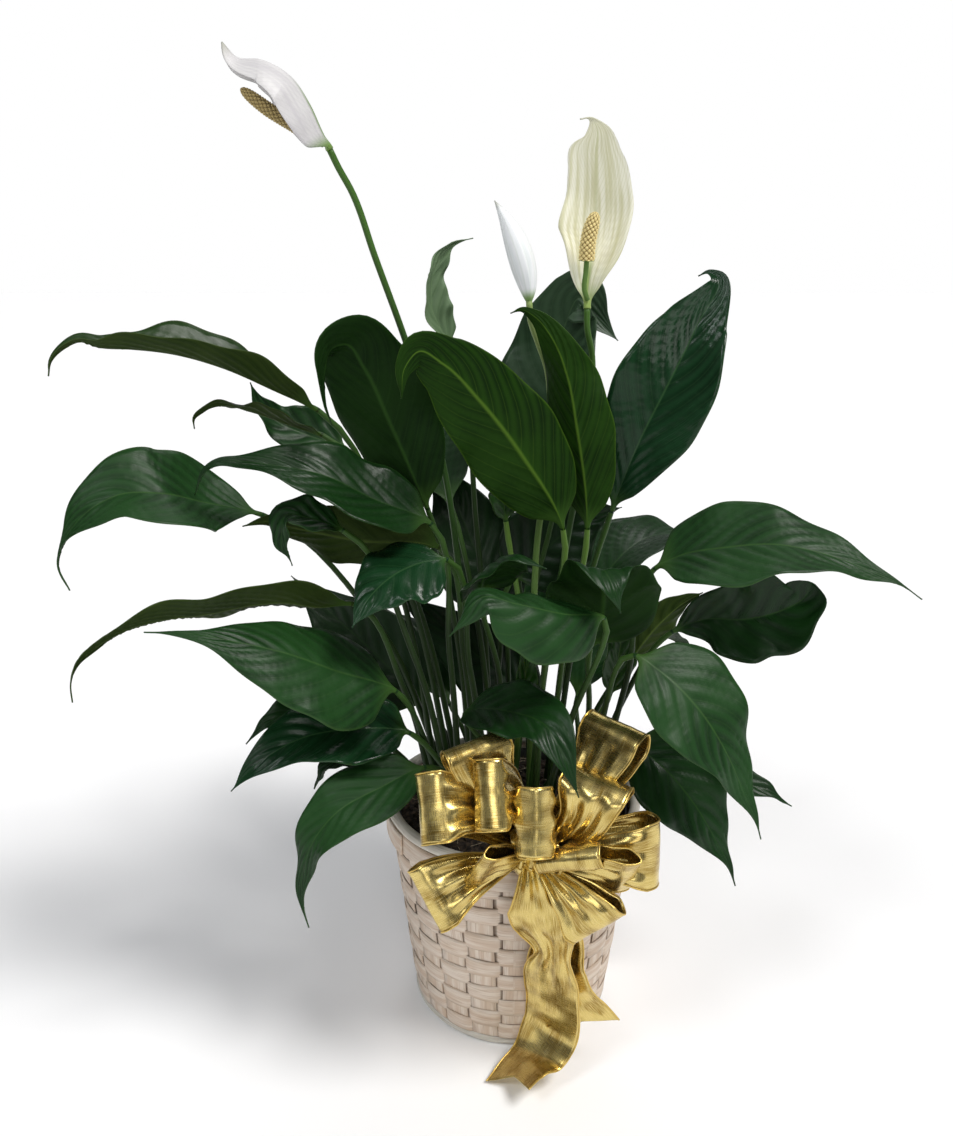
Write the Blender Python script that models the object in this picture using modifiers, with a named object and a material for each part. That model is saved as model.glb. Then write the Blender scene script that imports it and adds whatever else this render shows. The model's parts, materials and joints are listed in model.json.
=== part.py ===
"""Potted peace lily: a plant with leaves and three blooms, in a lined chip basket with a ribbon bow.

Metres, +Z up. The origin is at the centre of the basket's underside, and -Y is the front, where the bow
hangs. Shapes are worked out in millimetres and written to meshes in metres.
"""

import math
from dataclasses import dataclass

import bmesh
import bpy
import numpy as np

MM = 0.001
GAP = 0.35

# Basket
BASKET_HEIGHT = 148.0
FOOT_RADIUS = 63.5
WALL_TOP_RADIUS = 78.0
WALL_THICKNESS = 3.0
FLOOR_THICKNESS = 4.0
FOOT_HOOP_RADIUS = 2.8
RIM_BAND_HEIGHT = 14.0
RIM_BAND_THICKNESS = 3.2
REED_RADIUS = 3.4
STAVES = 22
WEAVER_ROWS = 12
WEAVE_RELIEF = 1.1

# Liner and soil
LINER_THICKNESS = 1.6
FOOT_BEVEL = 6.0
SOIL_TOP = 136.0
SOIL_CROWN = 5.0
SOIL_DOME = ((0, SOIL_CROWN), (18, 4), (40, 1.5), (60, -1.5))
STEM_DEPTH = 18.0
RING_PITCH = 13.0
HOLE_SIDES = 6

# Leaves
PETIOLE_RADIUS = 2.2
BLADE_THICKNESS = 0.8
KEEL_DEPTH = 1.0
TIP_HALF_WIDTH = 0.6
MARGIN_WAVES = 2.5
STEM_TO_BLADE = 0.1
STEM_LEAN = (0.40, 0.40, 0.60)
SCAPE_LEAN = (0.42, 0.42, 0.55)
PETIOLE_STEPS = 4
BLADE_STEPS = 8

# Flowers
STALK_SHARE = 0.34
SPADIX_KNOB = 0.09

# Bow
RIBBON_WIDTH = 37.0
RIBBON_THICKNESS = 0.8
KNOT = (7.0, -94.0, 161.0)
KNOT_RADIUS = 12.0
KNOT_SINK = 7.0
GATHERED_SHARE = 0.2
LOOP_SPREAD = 2.4
TAIL_GATHERED_SHARE = 0.3
TAIL_SPREAD = 2.6
PICK_RADIUS = 0.9
PICK_PATH = ((KNOT[0], KNOT[1] + KNOT_RADIUS + GAP, KNOT[2] - 1), (7, -78, 159.5), (6, -70, 157),
             (5, -64, 149), (5, -62, 140))


@dataclass(frozen=True)
class Leaf:
    """One leaf: its midrib from blade base to tip, and how the blade spreads from it."""

    name: str
    midrib: tuple
    half_width: float
    face: tuple
    fold: float = 18.0
    wave: float = 1.5
    twist: float = 0.0
    shape: tuple = (0.8, 1.5)
    panels: int = 4
    bow_out: tuple = (0, 0)


# Blade outlines: with a long drip tip, with a narrow base as well, or broad to a short point.
DRIP = (0.8, 2.0)
WAISTED = (1.6, 2.8)
BROAD = (0.8, 1.3)

LEAVES = (
    Leaf("leaf_back_arched", ((-53, -10, 341), (-60, -14, 360), (-73, -24, 395), (-85, -38, 427),
         (-93, -48, 440), (-100, -54, 438), (-104, -57, 425), (-104, -57, 410), (-101, -56, 398)), 29,
         (0.2, 1.0, -0.2), fold=10, shape=BROAD),
    Leaf("leaf_centre_arched", ((26, -30, 334), (1, -40, 379), (-23, -50, 411), (-41, -58, 430),
         (-54, -62, 437), (-61, -64, 429), (-63, -64, 413)), 28, (-0.2, 1.0, 0.1), fold=8, shape=BROAD),
    Leaf("leaf_centre_erect", ((41, -22, 332), (33, -20, 393), (28, -16, 418), (19, -12, 440),
         (9, -10, 452), (1, -10, 456), (-5, -10, 454)), 21, (0.3, 1.0, 0.2), fold=22, shape=BROAD, panels=2),
    Leaf("leaf_back_folded", ((26, 25, 353), (22, 34, 385), (24, 42, 417), (31, 46, 445), (39, 45, 461),
         (51, 42, 448), (63, 38, 436)), 34, (-0.5, -0.9, 0.3), fold=14, shape=BROAD),
    Leaf("leaf_right_upright", ((57, -5, 338), (71, -12, 383), (85, -12, 414), (101, -6, 447),
         (112, 4, 474), (108, 7, 476), (104, 8, 472)), 29, (-0.3, -1.0, 0.3), fold=16, shape=(1.15, 1.15)),
    Leaf("leaf_back_slim", ((-40, 40, 433), (-51, 39, 455), (-49, 42, 479), (-40, 45, 492),
         (-26, 48, 496)), 12, (0.7, -0.7, 0.2), fold=30, panels=2),
    Leaf("leaf_left_keeled", ((-116, -5, 399), (-140, -15, 413), (-165, -25, 426), (-189, -34, 434),
         (-209, -41, 437), (-224, -44, 438), (-234, -46, 441), (-243, -47, 437), (-250, -48, 430),
         (-252, -48, 423)), 19, (0.0, -0.1, 1.0), fold=42, twist=-25, shape=BROAD, panels=2),
    Leaf("leaf_left_thin", ((-116, 5, 383), (-134, 2, 390), (-156, 0, 398), (-173, -2, 402),
         (-183, -3, 399), (-190, -3, 393), (-190, -3, 388)), 13, (0.0, 0.3, 1.0), fold=12, panels=2),
    Leaf("leaf_left_behind", ((-106, 29, 371), (-129, 30, 379), (-149, 28, 389), (-158, 26, 400),
         (-162, 26, 412)), 17, (0.1, -0.8, 0.6), panels=2),
    Leaf("leaf_left_dark", ((-50, -30, 337), (-82, -42, 355), (-108, -50, 370), (-132, -55, 376),
         (-151, -58, 379), (-161, -60, 379), (-170, -60, 374), (-176, -60, 361)), 24, (0.1, -0.6, 0.8),
         fold=12, shape=DRIP, bow_out=(0, -8)),
    Leaf("leaf_left_large", ((-149, -20, 340), (-178, -38, 352), (-195, -60, 362), (-213, -67, 363),
         (-225, -71, 358), (-236, -74, 349), (-245, -75, 336), (-248, -75, 326), (-243, -76, 312)), 31,
         (0.0, -0.6, 0.8), fold=14, shape=WAISTED),
    Leaf("leaf_left_under", ((-46, -16, 319), (-93, -27, 327), (-125, -32, 335), (-146, -38, 341),
         (-157, -38, 338)), 27, (0.0, 0.85, 0.5), fold=9, panels=2),
    Leaf("leaf_left_small", ((-99, -44, 337), (-116, -48, 345), (-130, -50, 347), (-132, -52, 336),
         (-127, -53, 319)), 12, (-0.1, -0.5, 0.8), panels=2, bow_out=(0, 4)),
    Leaf("leaf_left_long", ((-98, -25, 287), (-117, -35, 289), (-135, -42, 294), (-153, -50, 295),
         (-176, -60, 293), (-196, -68, 293), (-213, -74, 290), (-230, -79, 282), (-241, -82, 273),
         (-246, -83, 261), (-246, -84, 250)), 24, (0.0, 0.6, 0.8), fold=12, shape=DRIP, panels=2),
    Leaf("leaf_left_broad", ((-71, -50, 241), (-103, -68, 262), (-130, -82, 279), (-155, -91, 289),
         (-174, -96, 295), (-197, -99, 297)), 34, (0.1, -0.54, 0.84), fold=-14, shape=DRIP),
    Leaf("leaf_left_shaded", ((-64, -40, 209), (-94, -54, 219), (-127, -68, 219), (-150, -80, 208),
         (-163, -84, 195)), 25, (-0.1, -0.7, 0.7), panels=2, bow_out=(0, -8)),
    Leaf("leaf_left_peeking", ((-107, -26, 214), (-135, -38, 222), (-149, -46, 219), (-161, -52, 208)),
         11, (0.0, -0.5, 0.85), panels=2, bow_out=(0, -10)),
    Leaf("leaf_left_lowest", ((-85, -40, 191), (-103, -46, 196), (-116, -50, 190), (-122, -52, 178)), 10,
         (0.0, -0.3, 0.95), panels=2, bow_out=(0, -10)),
    Leaf("leaf_left_hanging", ((-54, -62, 198), (-79, -76, 193), (-103, -86, 183), (-118, -90, 164),
         (-124, -92, 144), (-125, -92, 126), (-122, -92, 110)), 22, (-0.45, -0.75, 0.45), fold=8,
         shape=DRIP, panels=2),
    Leaf("leaf_front_shiny", ((-41, -41, 319), (-67, -58, 317), (-82, -72, 307), (-91, -82, 293)), 25,
         (0.1, -0.45, 0.9), fold=-8, panels=2, bow_out=(-4, 0)),
    Leaf("leaf_front_folded", ((46, -70, 294), (22, -88, 303), (-3, -98, 312), (-22, -103, 317),
         (-30, -106, 308), (-38, -108, 298)), 28, (0.0, -0.5, 0.85), fold=-32, bow_out=(4, -18)),
    Leaf("leaf_front_behind", ((-22, -20, 293), (-16, -42, 315), (-3, -58, 327), (14, -68, 322)), 22,
         (0.1, -0.2, 1.0), fold=-25, panels=2, bow_out=(6, 4)),
    Leaf("leaf_right_arched", ((42, -48, 268), (47, -55, 291), (46, -65, 312), (44, -77, 324),
         (48, -88, 317), (52, -90, 304)), 33, (0.1, 1.0, 0.1), fold=8, bow_out=(12, 2)),
    Leaf("leaf_over_bow", ((-31, -50, 226), (-3, -80, 242), (14, -101, 243), (23, -112, 229),
         (30, -118, 211)), 21, (0.25, -0.7, 0.65), fold=10, panels=2, bow_out=(2, -9)),
    Leaf("leaf_right_long", ((80, -30, 310), (93, -36, 320), (116, -47, 328), (141, -55, 332),
         (167, -60, 328), (195, -64, 318), (211, -66, 311), (221, -67, 304)), 31, (0.0, -0.56, 0.83), fold=8,
         shape=DRIP, bow_out=(6, -8)),
    Leaf("leaf_right_wavy", ((97, -10, 263), (115, -17, 274), (137, -25, 277), (157, -31, 285),
         (168, -33, 293), (172, -34, 303)), 28, (0.1, -0.95, 0.3), wave=4.0, shape=(1.2, 0.8)),
    Leaf("leaf_right_drooping", ((64, -70, 272), (79, -80, 265), (98, -89, 247), (114, -94, 222),
         (124, -96, 200), (132, -97, 183), (135, -98, 173)), 30, (0.4, -0.8, 0.5), fold=6, shape=DRIP,
         bow_out=(0, -8)),
    Leaf("leaf_right_low", ((66, -50, 208), (84, -60, 199), (102, -68, 180), (117, -73, 156),
         (125, -75, 141), (130, -76, 127)), 28, (0.3, -0.85, 0.45), fold=10, shape=DRIP, panels=2,
         bow_out=(4, -6)),
    Leaf("leaf_right_peeking", ((110, 0, 168), (143, -5, 158), (168, -8, 150), (183, -10, 141)), 13,
         (0.1, -0.6, 0.8), panels=2),
    Leaf("leaf_right_inner", ((60, -12, 222), (64, -12, 245), (66, -10, 268), (64, -6, 285)), 11,
         (0.2, -1.0, 0.2), panels=2),
    Leaf("leaf_right_olive", ((76, 15, 234), (95, 18, 259), (114, 20, 275), (122, 20, 279)), 16,
         (0.2, 0.9, 0.4), panels=2),
    Leaf("leaf_inner_young", ((-6, 5, 330), (-9, 0, 355), (-14, -5, 375), (-17, -8, 388)), 12,
         (0.5, -0.9, 0.1), panels=2, bow_out=(8, -12)),
    Leaf("leaf_inner_rolled", ((2, -46, 220), (4, -48, 242), (5, -50, 264), (4, -50, 284)), 9,
         (0.1, -1.0, 0.2), fold=40, panels=2),
    Leaf("leaf_rear_left", ((-40, 40, 330), (-70, 105, 368), (-90, 165, 350), (-100, 205, 310)), 31,
         (-0.2, 0.3, 0.9), panels=2),
    Leaf("leaf_rear_middle", ((0, 60, 320), (5, 125, 356), (8, 185, 345), (10, 228, 305)), 32,
         (0.0, 0.3, 0.9), panels=2),
    Leaf("leaf_rear_right", ((45, 42, 250), (92, 90, 294), (136, 128, 286), (163, 150, 258)), 30,
         (0.2, 0.1, 1.0), panels=2),
    Leaf("leaf_rear_left_low", ((-42, 40, 190), (-88, 86, 222), (-126, 120, 208), (-150, 140, 178)), 28,
         (-0.2, 0.2, 0.9), panels=2),
    Leaf("leaf_rear_right_low", ((45, 38, 196), (88, 80, 222), (126, 112, 210), (148, 130, 182)), 27,
         (0.2, 0.2, 0.9), panels=2, bow_out=(12, -8)),
    Leaf("leaf_rear_low", ((8, 52, 230), (12, 108, 264), (14, 160, 254), (14, 198, 220)), 30,
         (0.0, 0.2, 1.0), panels=2, bow_out=(4, 0)),
    Leaf("leaf_inner_tall", ((-5, 49, 251), (-25, 61, 296), (-44, 74, 336), (-60, 85, 355)), 32,
         (0.2, -1.0, 0.25), fold=8, panels=2),
    Leaf("leaf_inner_right", ((-1, 37, 282), (24, 37, 306), (48, 37, 325), (70, 38, 331)), 32,
         (-0.47, -1.0, 0.0), panels=2),
    Leaf("leaf_inner_left", ((-60, 29, 194), (-90, 33, 229), (-121, 36, 259), (-147, 40, 284)), 33,
         (0.15, -1.0, 0.2), fold=12, panels=2),
    Leaf("leaf_inner_low", ((18, 68, 175), (-16, 60, 212), (-50, 53, 245), (-80, 46, 270)), 27,
         (0.2, -1.0, 0.35), fold=12, panels=2),
)
# Leaves whose stems take the holes that the rest leave free.
LATE_STEMS = ("leaf_inner_tall", "leaf_inner_right", "leaf_inner_left", "leaf_inner_low")


def unit(vector):
    """The vector or vectors at length one."""
    vector = np.asarray(vector, float)
    return vector / np.linalg.norm(vector, axis=-1, keepdims=True)


def smooth_path(points, fine=24):
    """A dense cubic curve through the points, whose slopes are central differences over the chord lengths."""
    points = np.asarray(points, float)
    chords = np.linalg.norm(np.diff(points, axis=0), axis=1)
    knots = np.concatenate([[0.0], np.cumsum(chords)])
    slopes = np.gradient(points, knots, axis=0)
    u = np.linspace(0, 1, fine, endpoint=False)[None, :, None]
    span = chords[:, None, None]
    near, far = points[:-1, None], points[1:, None]
    near_slope, far_slope = slopes[:-1, None] * span, slopes[1:, None] * span
    runs = ((2 * u ** 3 - 3 * u ** 2 + 1) * near + (u ** 3 - 2 * u ** 2 + u) * near_slope
            + (3 * u ** 2 - 2 * u ** 3) * far + (u ** 3 - u ** 2) * far_slope)
    return np.vstack([runs.reshape(-1, 3), points[-1:]])


def along(curve, where):
    """Points at the given shares of a dense curve's length."""
    length = np.concatenate([[0.0], np.cumsum(np.linalg.norm(np.diff(curve, axis=0), axis=1))])
    return np.stack([np.interp(np.asarray(where) * length[-1], length, curve[:, k]) for k in range(3)], 1)


def tangents_of(points):
    """Unit tangents by central differences."""
    return unit(np.gradient(points, axis=0))


def carried_normals(tangents, start, normal):
    """The normal given at one index, carried both ways along the curve with the least turning."""
    normals = np.zeros_like(tangents)
    normals[start] = unit(normal - np.dot(normal, tangents[start]) * tangents[start])
    for step, stop in ((1, len(tangents)), (-1, -1)):
        for i in range(start + step, stop, step):
            before = normals[i - step]
            normals[i] = unit(before - np.dot(before, tangents[i]) * tangents[i])
    return normals


def turned_about(vectors, axes, degrees):
    """Each vector turned about its own axis."""
    angle = np.radians(degrees)[:, None]
    return (vectors * np.cos(angle) + np.cross(axes, vectors) * np.sin(angle)
            + axes * (np.sum(axes * vectors, axis=1, keepdims=True)) * (1 - np.cos(angle)))


def blade_share(s, shape):
    """Half width along a blade as a share of its widest: s^a (1 - s)^b, which peaks at a / (a + b)."""
    a, b = shape
    peak = a / (a + b)
    return np.clip(s, 0, 1) ** a * np.clip(1 - s, 0, 1) ** b / (peak ** a * (1 - peak) ** b)


def blade_sections(centres, tangents, normals, s, leaf):
    """One ring of points for each place s along a blade, from the stem's round section to the flat blade.

    Across the blade v runs from -1 to 1. A point lies v half widths to the side, and rises by the fold and by
    the margin's wave, which grows with v squared. The lower face has a keel under the midrib.
    """
    count = leaf.panels + 1
    v = np.linspace(-1, 1, count)
    sides = np.cross(tangents, normals)
    width = np.maximum(leaf.half_width * blade_share(s, leaf.shape), TIP_HALF_WIDTH)
    fold = math.radians(leaf.fold)
    ripple = np.sin(2 * math.pi * MARGIN_WAVES * s)[:, None] * np.sign(v) * v ** 2 * leaf.wave
    across = width[:, None] * v * math.cos(fold)
    lift = width[:, None] * np.abs(v) ** 1.5 * math.sin(fold) + ripple * blade_share(s, (1, 1))[:, None]
    keel = KEEL_DEPTH * (1 - s)[:, None] * (1 - np.abs(v)) ** 4
    upper = np.stack([across, lift + BLADE_THICKNESS / 2], 2)
    lower = np.stack([across, lift - BLADE_THICKNESS / 2 - keel], 2)[:, ::-1]
    flat = np.concatenate([upper, lower], 1)
    angle = math.pi - (np.arange(2 * count) + 0.5) * math.pi / count
    circle = PETIOLE_RADIUS * np.stack([np.cos(angle), np.sin(angle)], 1)
    blend = np.clip(s / STEM_TO_BLADE, 0, 1)[:, None, None]
    section = flat * blend + circle * (1 - blend)
    return centres[:, None] + section[..., :1] * sides[:, None] + section[..., 1:] * normals[:, None]


def leaf_rings(leaf, socket):
    """Rings of a whole leaf, from the stem's foot in the soil to the drip tip."""
    base = np.array(leaf.midrib[0], float)
    foot = np.array([*socket, SOIL_TOP - STEM_DEPTH])
    collar = np.array([*socket, SOIL_TOP + SOIL_CROWN + 1])
    middle = collar + (base - collar) * np.array(STEM_LEAN) + np.array([*leaf.bow_out, 0])
    whole = smooth_path([collar, middle, *leaf.midrib])
    stem_end = np.argmin(np.linalg.norm(whole - base, axis=1))
    stem = along(whole[:stem_end + 1], np.linspace(0, 1, PETIOLE_STEPS + 1))
    s = np.concatenate([[STEM_TO_BLADE / 2], np.linspace(STEM_TO_BLADE, 1, BLADE_STEPS)])
    blade = along(whole[stem_end:], s)
    centres = np.vstack([stem, blade])
    tangents = tangents_of(centres)
    tangents[0] = (0, 0, 1)
    middle_index = len(stem) + BLADE_STEPS // 2
    normals = carried_normals(tangents, middle_index, np.array(leaf.face))
    share = np.concatenate([np.zeros(len(stem)), s])
    normals = turned_about(normals, tangents, leaf.twist * (share - 0.5) * (share > 0))
    rings = blade_sections(centres, tangents, normals, share, leaf)
    sunk = rings[0].copy()
    sunk[:, 2] = foot[2]
    return np.concatenate([sunk[None], rings])


def sockets():
    """Stem holes in rings round the crown, six more on each ring than on the one inside it."""
    places = [(0.0, 0.0)]
    for ring in range(1, 5):
        for k in range(6 * ring):
            angle = 2 * math.pi * (k + 0.5 * (ring % 2)) / (6 * ring)
            places.append((ring * RING_PITCH * math.cos(angle), ring * RING_PITCH * math.sin(angle)))
    return places


def choose_sockets(bases):
    """Gives each stem the free hole nearest to the line towards its blade, from the middle outwards.

    The late stems choose after the others, in the order of their names.
    """
    free = sockets()
    chosen = {}
    early = [item for item in bases.items() if item[0] not in LATE_STEMS]
    early.sort(key=lambda item: math.hypot(item[1][0], item[1][1]))
    for name, base in early + [(late, bases[late]) for late in LATE_STEMS]:
        reach = math.hypot(base[0], base[1])
        share = min(0.42, 48 / max(reach, 1))
        wanted = (base[0] * share, base[1] * share)
        spot = min(free, key=lambda place: math.dist(place, wanted))
        free.remove(spot)
        chosen[name] = spot
    return chosen


@dataclass(frozen=True)
class Bloom:
    """A flower: its stem's path, then the spathe as a blade, and the spadix as a rod."""

    name: str
    scape: tuple
    spathe: Leaf
    spadix: tuple = ()
    spadix_radius: float = 4.0


BLOOMS = (
    Bloom("bloom_left", ((-46, 16, 370), (-65, 10, 436), (-82, 8, 485), (-94, 6, 520)),
          Leaf("spathe", ((-104, 0, 540), (-108, -3, 549), (-113, -7, 561), (-122, -10, 574),
                          (-136, -13, 581), (-148, -15, 582), (-155, -16, 589)), 20, (-0.35, 0.0, -0.94),
               fold=44, wave=0.8, shape=(0.55, 0.85)),
          ((-120, -9, 550), (-133, -12, 557.5), (-147, -15, 567.5)), 3.9),
    Bloom("bloom_middle", ((13, 4, 310), (20, 4, 398), (17, 4, 423), (11, 3, 439)),
          Leaf("spathe", ((6, 1, 460), (5, 1, 469), (1, 0, 485), (-7, 1, 503), (-14, 2, 514)), 11,
               (0.3, -1.0, 0.0))),
    Bloom("bloom_right", ((33, 10, 320), (45, 11, 414), (44, 11, 430)),
          Leaf("spathe", ((40, 8, 456), (41, 10, 472), (47, 16, 497), (47, 18, 521), (45, 14, 539),
                          (42, 8, 552), (38, 3, 556), (32, 0, 555)), 22, (-0.05, -1.0, 0.15), fold=24,
               wave=0.8, shape=(1.1, 1.15)),
          ((37, 3, 473), (37, 2, 482), (39, -1, 496), (43, -3, 508)), 4.4),
)


def spathe_line(spathe, steps=9):
    """Places along an open spathe, with the centres, tangents and normals there."""
    s = np.linspace(0, 1, steps + 1)
    centres = along(smooth_path(spathe.midrib), s)
    tangents = tangents_of(centres)
    return s, centres, tangents, carried_normals(tangents, steps // 2, np.array(spathe.face))


def spadix_path(bloom):
    """The spadix's line: its stalk rises from a seat on the spathe's upper face, just clear of it."""
    _, centres, _, normals = spathe_line(bloom.spathe)
    clear = BLADE_THICKNESS / 2 + STALK_SHARE * bloom.spadix_radius + 2 * GAP
    return [centres[1] + clear * normals[1], *bloom.spadix]


def spadix_rings(bloom, stalk_end=0.3, rows=11, around=8):
    """Rings of a spadix: a thin stalk, then a blunt rod whose surface is raised in offset rows of knobs."""
    s = np.concatenate([[0.0, stalk_end - 0.04], np.linspace(stalk_end, 1, rows)])
    centres = along(smooth_path(spadix_path(bloom)), s)
    tangents = tangents_of(centres)
    normals = carried_normals(tangents, 0, np.array([0.0, -1.0, 0.2]))
    sides = np.cross(tangents, normals)
    rod = np.clip((s - stalk_end) / (1 - stalk_end), 0, 1)
    girth = bloom.spadix_radius * np.clip(1.25 - 0.4 * rod, 0, 1) * np.sqrt(np.clip(1 - rod ** 6, 0.12, 1))
    girth[:2] = STALK_SHARE * bloom.spadix_radius
    angle = 2 * math.pi * np.arange(around) / around
    row = np.arange(len(s))[:, None]
    knobs = 1 + SPADIX_KNOB * (-1.0) ** (row + np.arange(around)[None])
    knobs[:2] = 1
    reach = girth[:, None] * knobs
    return (centres[:, None] + (reach * np.cos(angle))[..., None] * normals[:, None]
            + (reach * np.sin(angle))[..., None] * sides[:, None])


def bud_rings(spathe, around=10):
    """Rings of a closed spathe: a slim spindle whose overlap makes a step along one side."""
    curve = smooth_path(spathe.midrib)
    s = np.array([0, 0.05, 0.14, 0.26, 0.4, 0.55, 0.7, 0.82, 0.92, 1.0])
    centres = along(curve, s)
    tangents = tangents_of(centres)
    normals = carried_normals(tangents, 3, np.array(spathe.face))
    sides = np.cross(tangents, normals)
    girth = spathe.half_width * np.maximum(blade_share(s * 0.96 + 0.03, (0.75, 1.05)), 0.07)
    angle = 2 * math.pi * np.arange(around) / around
    step = 1 + 0.16 * (np.arange(around) / around) * np.sin(math.pi * s)[:, None]
    reach = girth[:, None] * step
    return (centres[:, None] + (reach * np.cos(angle))[..., None] * normals[:, None]
            + (reach * np.sin(angle))[..., None] * sides[:, None])


def spathe_rings(spathe):
    """Rings of an open spathe: a cupped blade that starts as round as its stem."""
    s, centres, tangents, normals = spathe_line(spathe)
    return blade_sections(centres, tangents, normals, s, spathe)


def tube_rings(points, radius, steps, around=6, start_up=True, end_way=None):
    """Rings of a round stem through the points; the last ring can be turned square to end_way."""
    centres = along(smooth_path(points), np.linspace(0, 1, steps + 1))
    tangents = tangents_of(centres)
    if start_up:
        tangents[0] = (0, 0, 1)
    if end_way is not None:
        tangents[-1] = end_way
    normals = carried_normals(tangents, 0, np.array([0.0, -1.0, 0.0]))
    sides = np.cross(tangents, normals)
    angle = 2 * math.pi * np.arange(around) / around
    return (centres[:, None] + radius * np.cos(angle)[None, :, None] * normals[:, None]
            + radius * np.sin(angle)[None, :, None] * sides[:, None])


def scape_rings(bloom, socket):
    """Rings of a flower stem, from its foot in the soil to the gap under the spathe."""
    collar = np.array([*socket, SOIL_TOP + SOIL_CROWN + 1])
    top = np.array(bloom.scape[0], float)
    middle = collar + (top - collar) * np.array(SCAPE_LEAN)
    base, beyond = along(smooth_path(bloom.spathe.midrib), np.array([0, 0.08]))
    way = unit(beyond - base)
    end = [base - 10 * way, base - GAP * way]
    rings = tube_rings([collar, middle, *bloom.scape, *end], PETIOLE_RADIUS, 11, end_way=way)
    sunk = rings[0].copy()
    sunk[:, 2] = SOIL_TOP - STEM_DEPTH
    return np.concatenate([sunk[None], rings])


@dataclass(frozen=True)
class Loop:
    """A bow loop as a tube of ribbon: its middle from the knot, its axis, and its two half sizes."""

    middle: tuple
    axis: tuple
    length_half: float
    open_half: float


LOOPS = (
    Loop((-49, -14, 38), (0.1, -0.55, -0.8), 14, 12),
    Loop((-30, 3, 60), (0.88, 0.35, 0.2), 10, 9),
    Loop((-22, -16, 47), (0.05, -0.5, -0.86), 11, 10),
    Loop((0, -17, 33), (0.0, -0.35, -0.93), 13, 12),
    Loop((32, -8, 38), (0.85, -0.4, -0.2), 16, 14),
    Loop((20, -24, 14), (0.9, -0.3, 0.3), 9, 7),
    Loop((44, 10, 64), (0.7, -0.65, -0.1), 13, 8),
    Loop((52, -5, 6), (0.0, 0.2, 0.98), 19, 15),
    Loop((43, -19, 4), (0.05, -0.55, 0.83), 13, 5),
    Loop((-50, -20, -10), (0.5, -0.3, -0.81), 11, 6),
    Loop((-24, -22, 8), (0.3, -0.5, 0.8), 10, 4),
    Loop((31, -16, -27), (0.7, -0.2, 0.68), 11, 6),
)


@dataclass(frozen=True)
class Tail:
    """A ribbon end: its centre line from the knot, and which way its width runs at the start and the end."""

    path: tuple
    widths: tuple


TAILS = (
    Tail(((7, -98, 158), (10, -104, 144), (12, -105, 121), (14, -98, 98), (16, -91, 80), (20, -89, 61),
          (22.5, -86, 43), (20, -85, 27), (13.7, -88, 17), (4, -96, 12), (-5.7, -107.5, 10.5)),
         ((1.0, 0.1, 0.0), (1.0, 0.1, 0.0), (0.8, -0.5, 0.0), (0.4, -0.9, 0.0), (0.65, -0.75, 0.1),
          (0.8, -0.6, 0.1), (0.8, -0.55, 0.2), (0.82, -0.42, 0.38), (0.85, -0.3, 0.43))),
    Tail(((12, -96, 157), (25, -98, 130), (31, -92, 98), (34, -86, 72), (42, -85, 47), (56, -88, 24)),
         ((0.6, 0.7, 0.3), (0.5, 0.8, 0.2), (0.6, 0.75, 0.0), (0.85, 0.43, -0.28))),
)


def ribbon_rings(centres, widths, half):
    """Rings of a flat band: four corners at each centre, the width kept square to the run."""
    tangents = tangents_of(centres)
    widths = unit(widths - np.sum(widths * tangents, axis=1, keepdims=True) * tangents)
    normals = np.cross(tangents, widths)
    half = np.broadcast_to(half, len(centres))[:, None]
    thick = RIBBON_THICKNESS / 2
    corners = [(1, 1), (-1, 1), (-1, -1), (1, -1)]
    return np.stack([centres + a * half * widths + b * thick * normals for a, b in corners], 1)


def loop_path(loop):
    """The line that a loop's ribbon follows, out from the knot, round its tube and back."""
    middle = np.array(KNOT) + np.array(loop.middle, float)
    axis = unit(loop.axis)
    inward = np.array(KNOT) - middle
    inward = unit(inward - np.dot(inward, axis) * axis)
    aside = np.cross(axis, inward)
    turns = ((0.35, 0.9), (-0.6, 0.8), (-1.0, 0.0), (-0.6, -0.8), (0.35, -0.9))
    around = [middle + a * loop.length_half * inward + b * loop.open_half * aside for a, b in turns]
    return smooth_path([KNOT, *around, KNOT])


def loop_rings(loop, steps=8):
    """Rings of a loop, gathered where it leaves the knot, with shorter steps round its far end."""
    path = loop_path(loop)
    length = np.sum(np.linalg.norm(np.diff(path, axis=0), axis=1))
    inset = KNOT_SINK / length
    spread = np.linspace(-1, 1, steps + 1)
    t = 0.5 + (0.5 - inset) * np.sign(spread) * np.abs(spread) ** 1.25
    centres = along(path, t)
    half = RIBBON_WIDTH / 2 * np.clip(LOOP_SPREAD * np.minimum(t, 1 - t), GATHERED_SHARE, 1)
    return ribbon_rings(centres, np.broadcast_to(unit(loop.axis), centres.shape), half)


def tail_rings(tail, steps=11):
    """Rings of a ribbon end, gathered at the knot and full width beyond it."""
    s = np.linspace(0, 1, steps + 1)
    centres = along(smooth_path(tail.path), s)
    keys = np.linspace(0, 1, len(tail.widths))
    widths = np.stack([np.interp(s, keys, np.array(tail.widths)[:, k]) for k in range(3)], 1)
    half = RIBBON_WIDTH / 2 * np.clip(TAIL_GATHERED_SHARE + TAIL_SPREAD * s, 0, 1)
    return ribbon_rings(centres, widths, half)


WALL_FOOT = 2 * FOOT_HOOP_RADIUS + GAP
WALL_TOP = BASKET_HEIGHT - 2 * REED_RADIUS - GAP
BAND_FOOT = WALL_TOP - RIM_BAND_HEIGHT
BAND_INNER = WALL_TOP_RADIUS + WALL_THICKNESS / 2 + WEAVE_RELIEF + GAP
BAND_OUTER = BAND_INNER + RIM_BAND_THICKNESS


def wall_radius(z):
    """Mean radius of the basket's wall at a height: it widens evenly up to the rim band."""
    return FOOT_RADIUS + (WALL_TOP_RADIUS - FOOT_RADIUS) * np.clip(z / BAND_FOOT, 0, 1)


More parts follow.
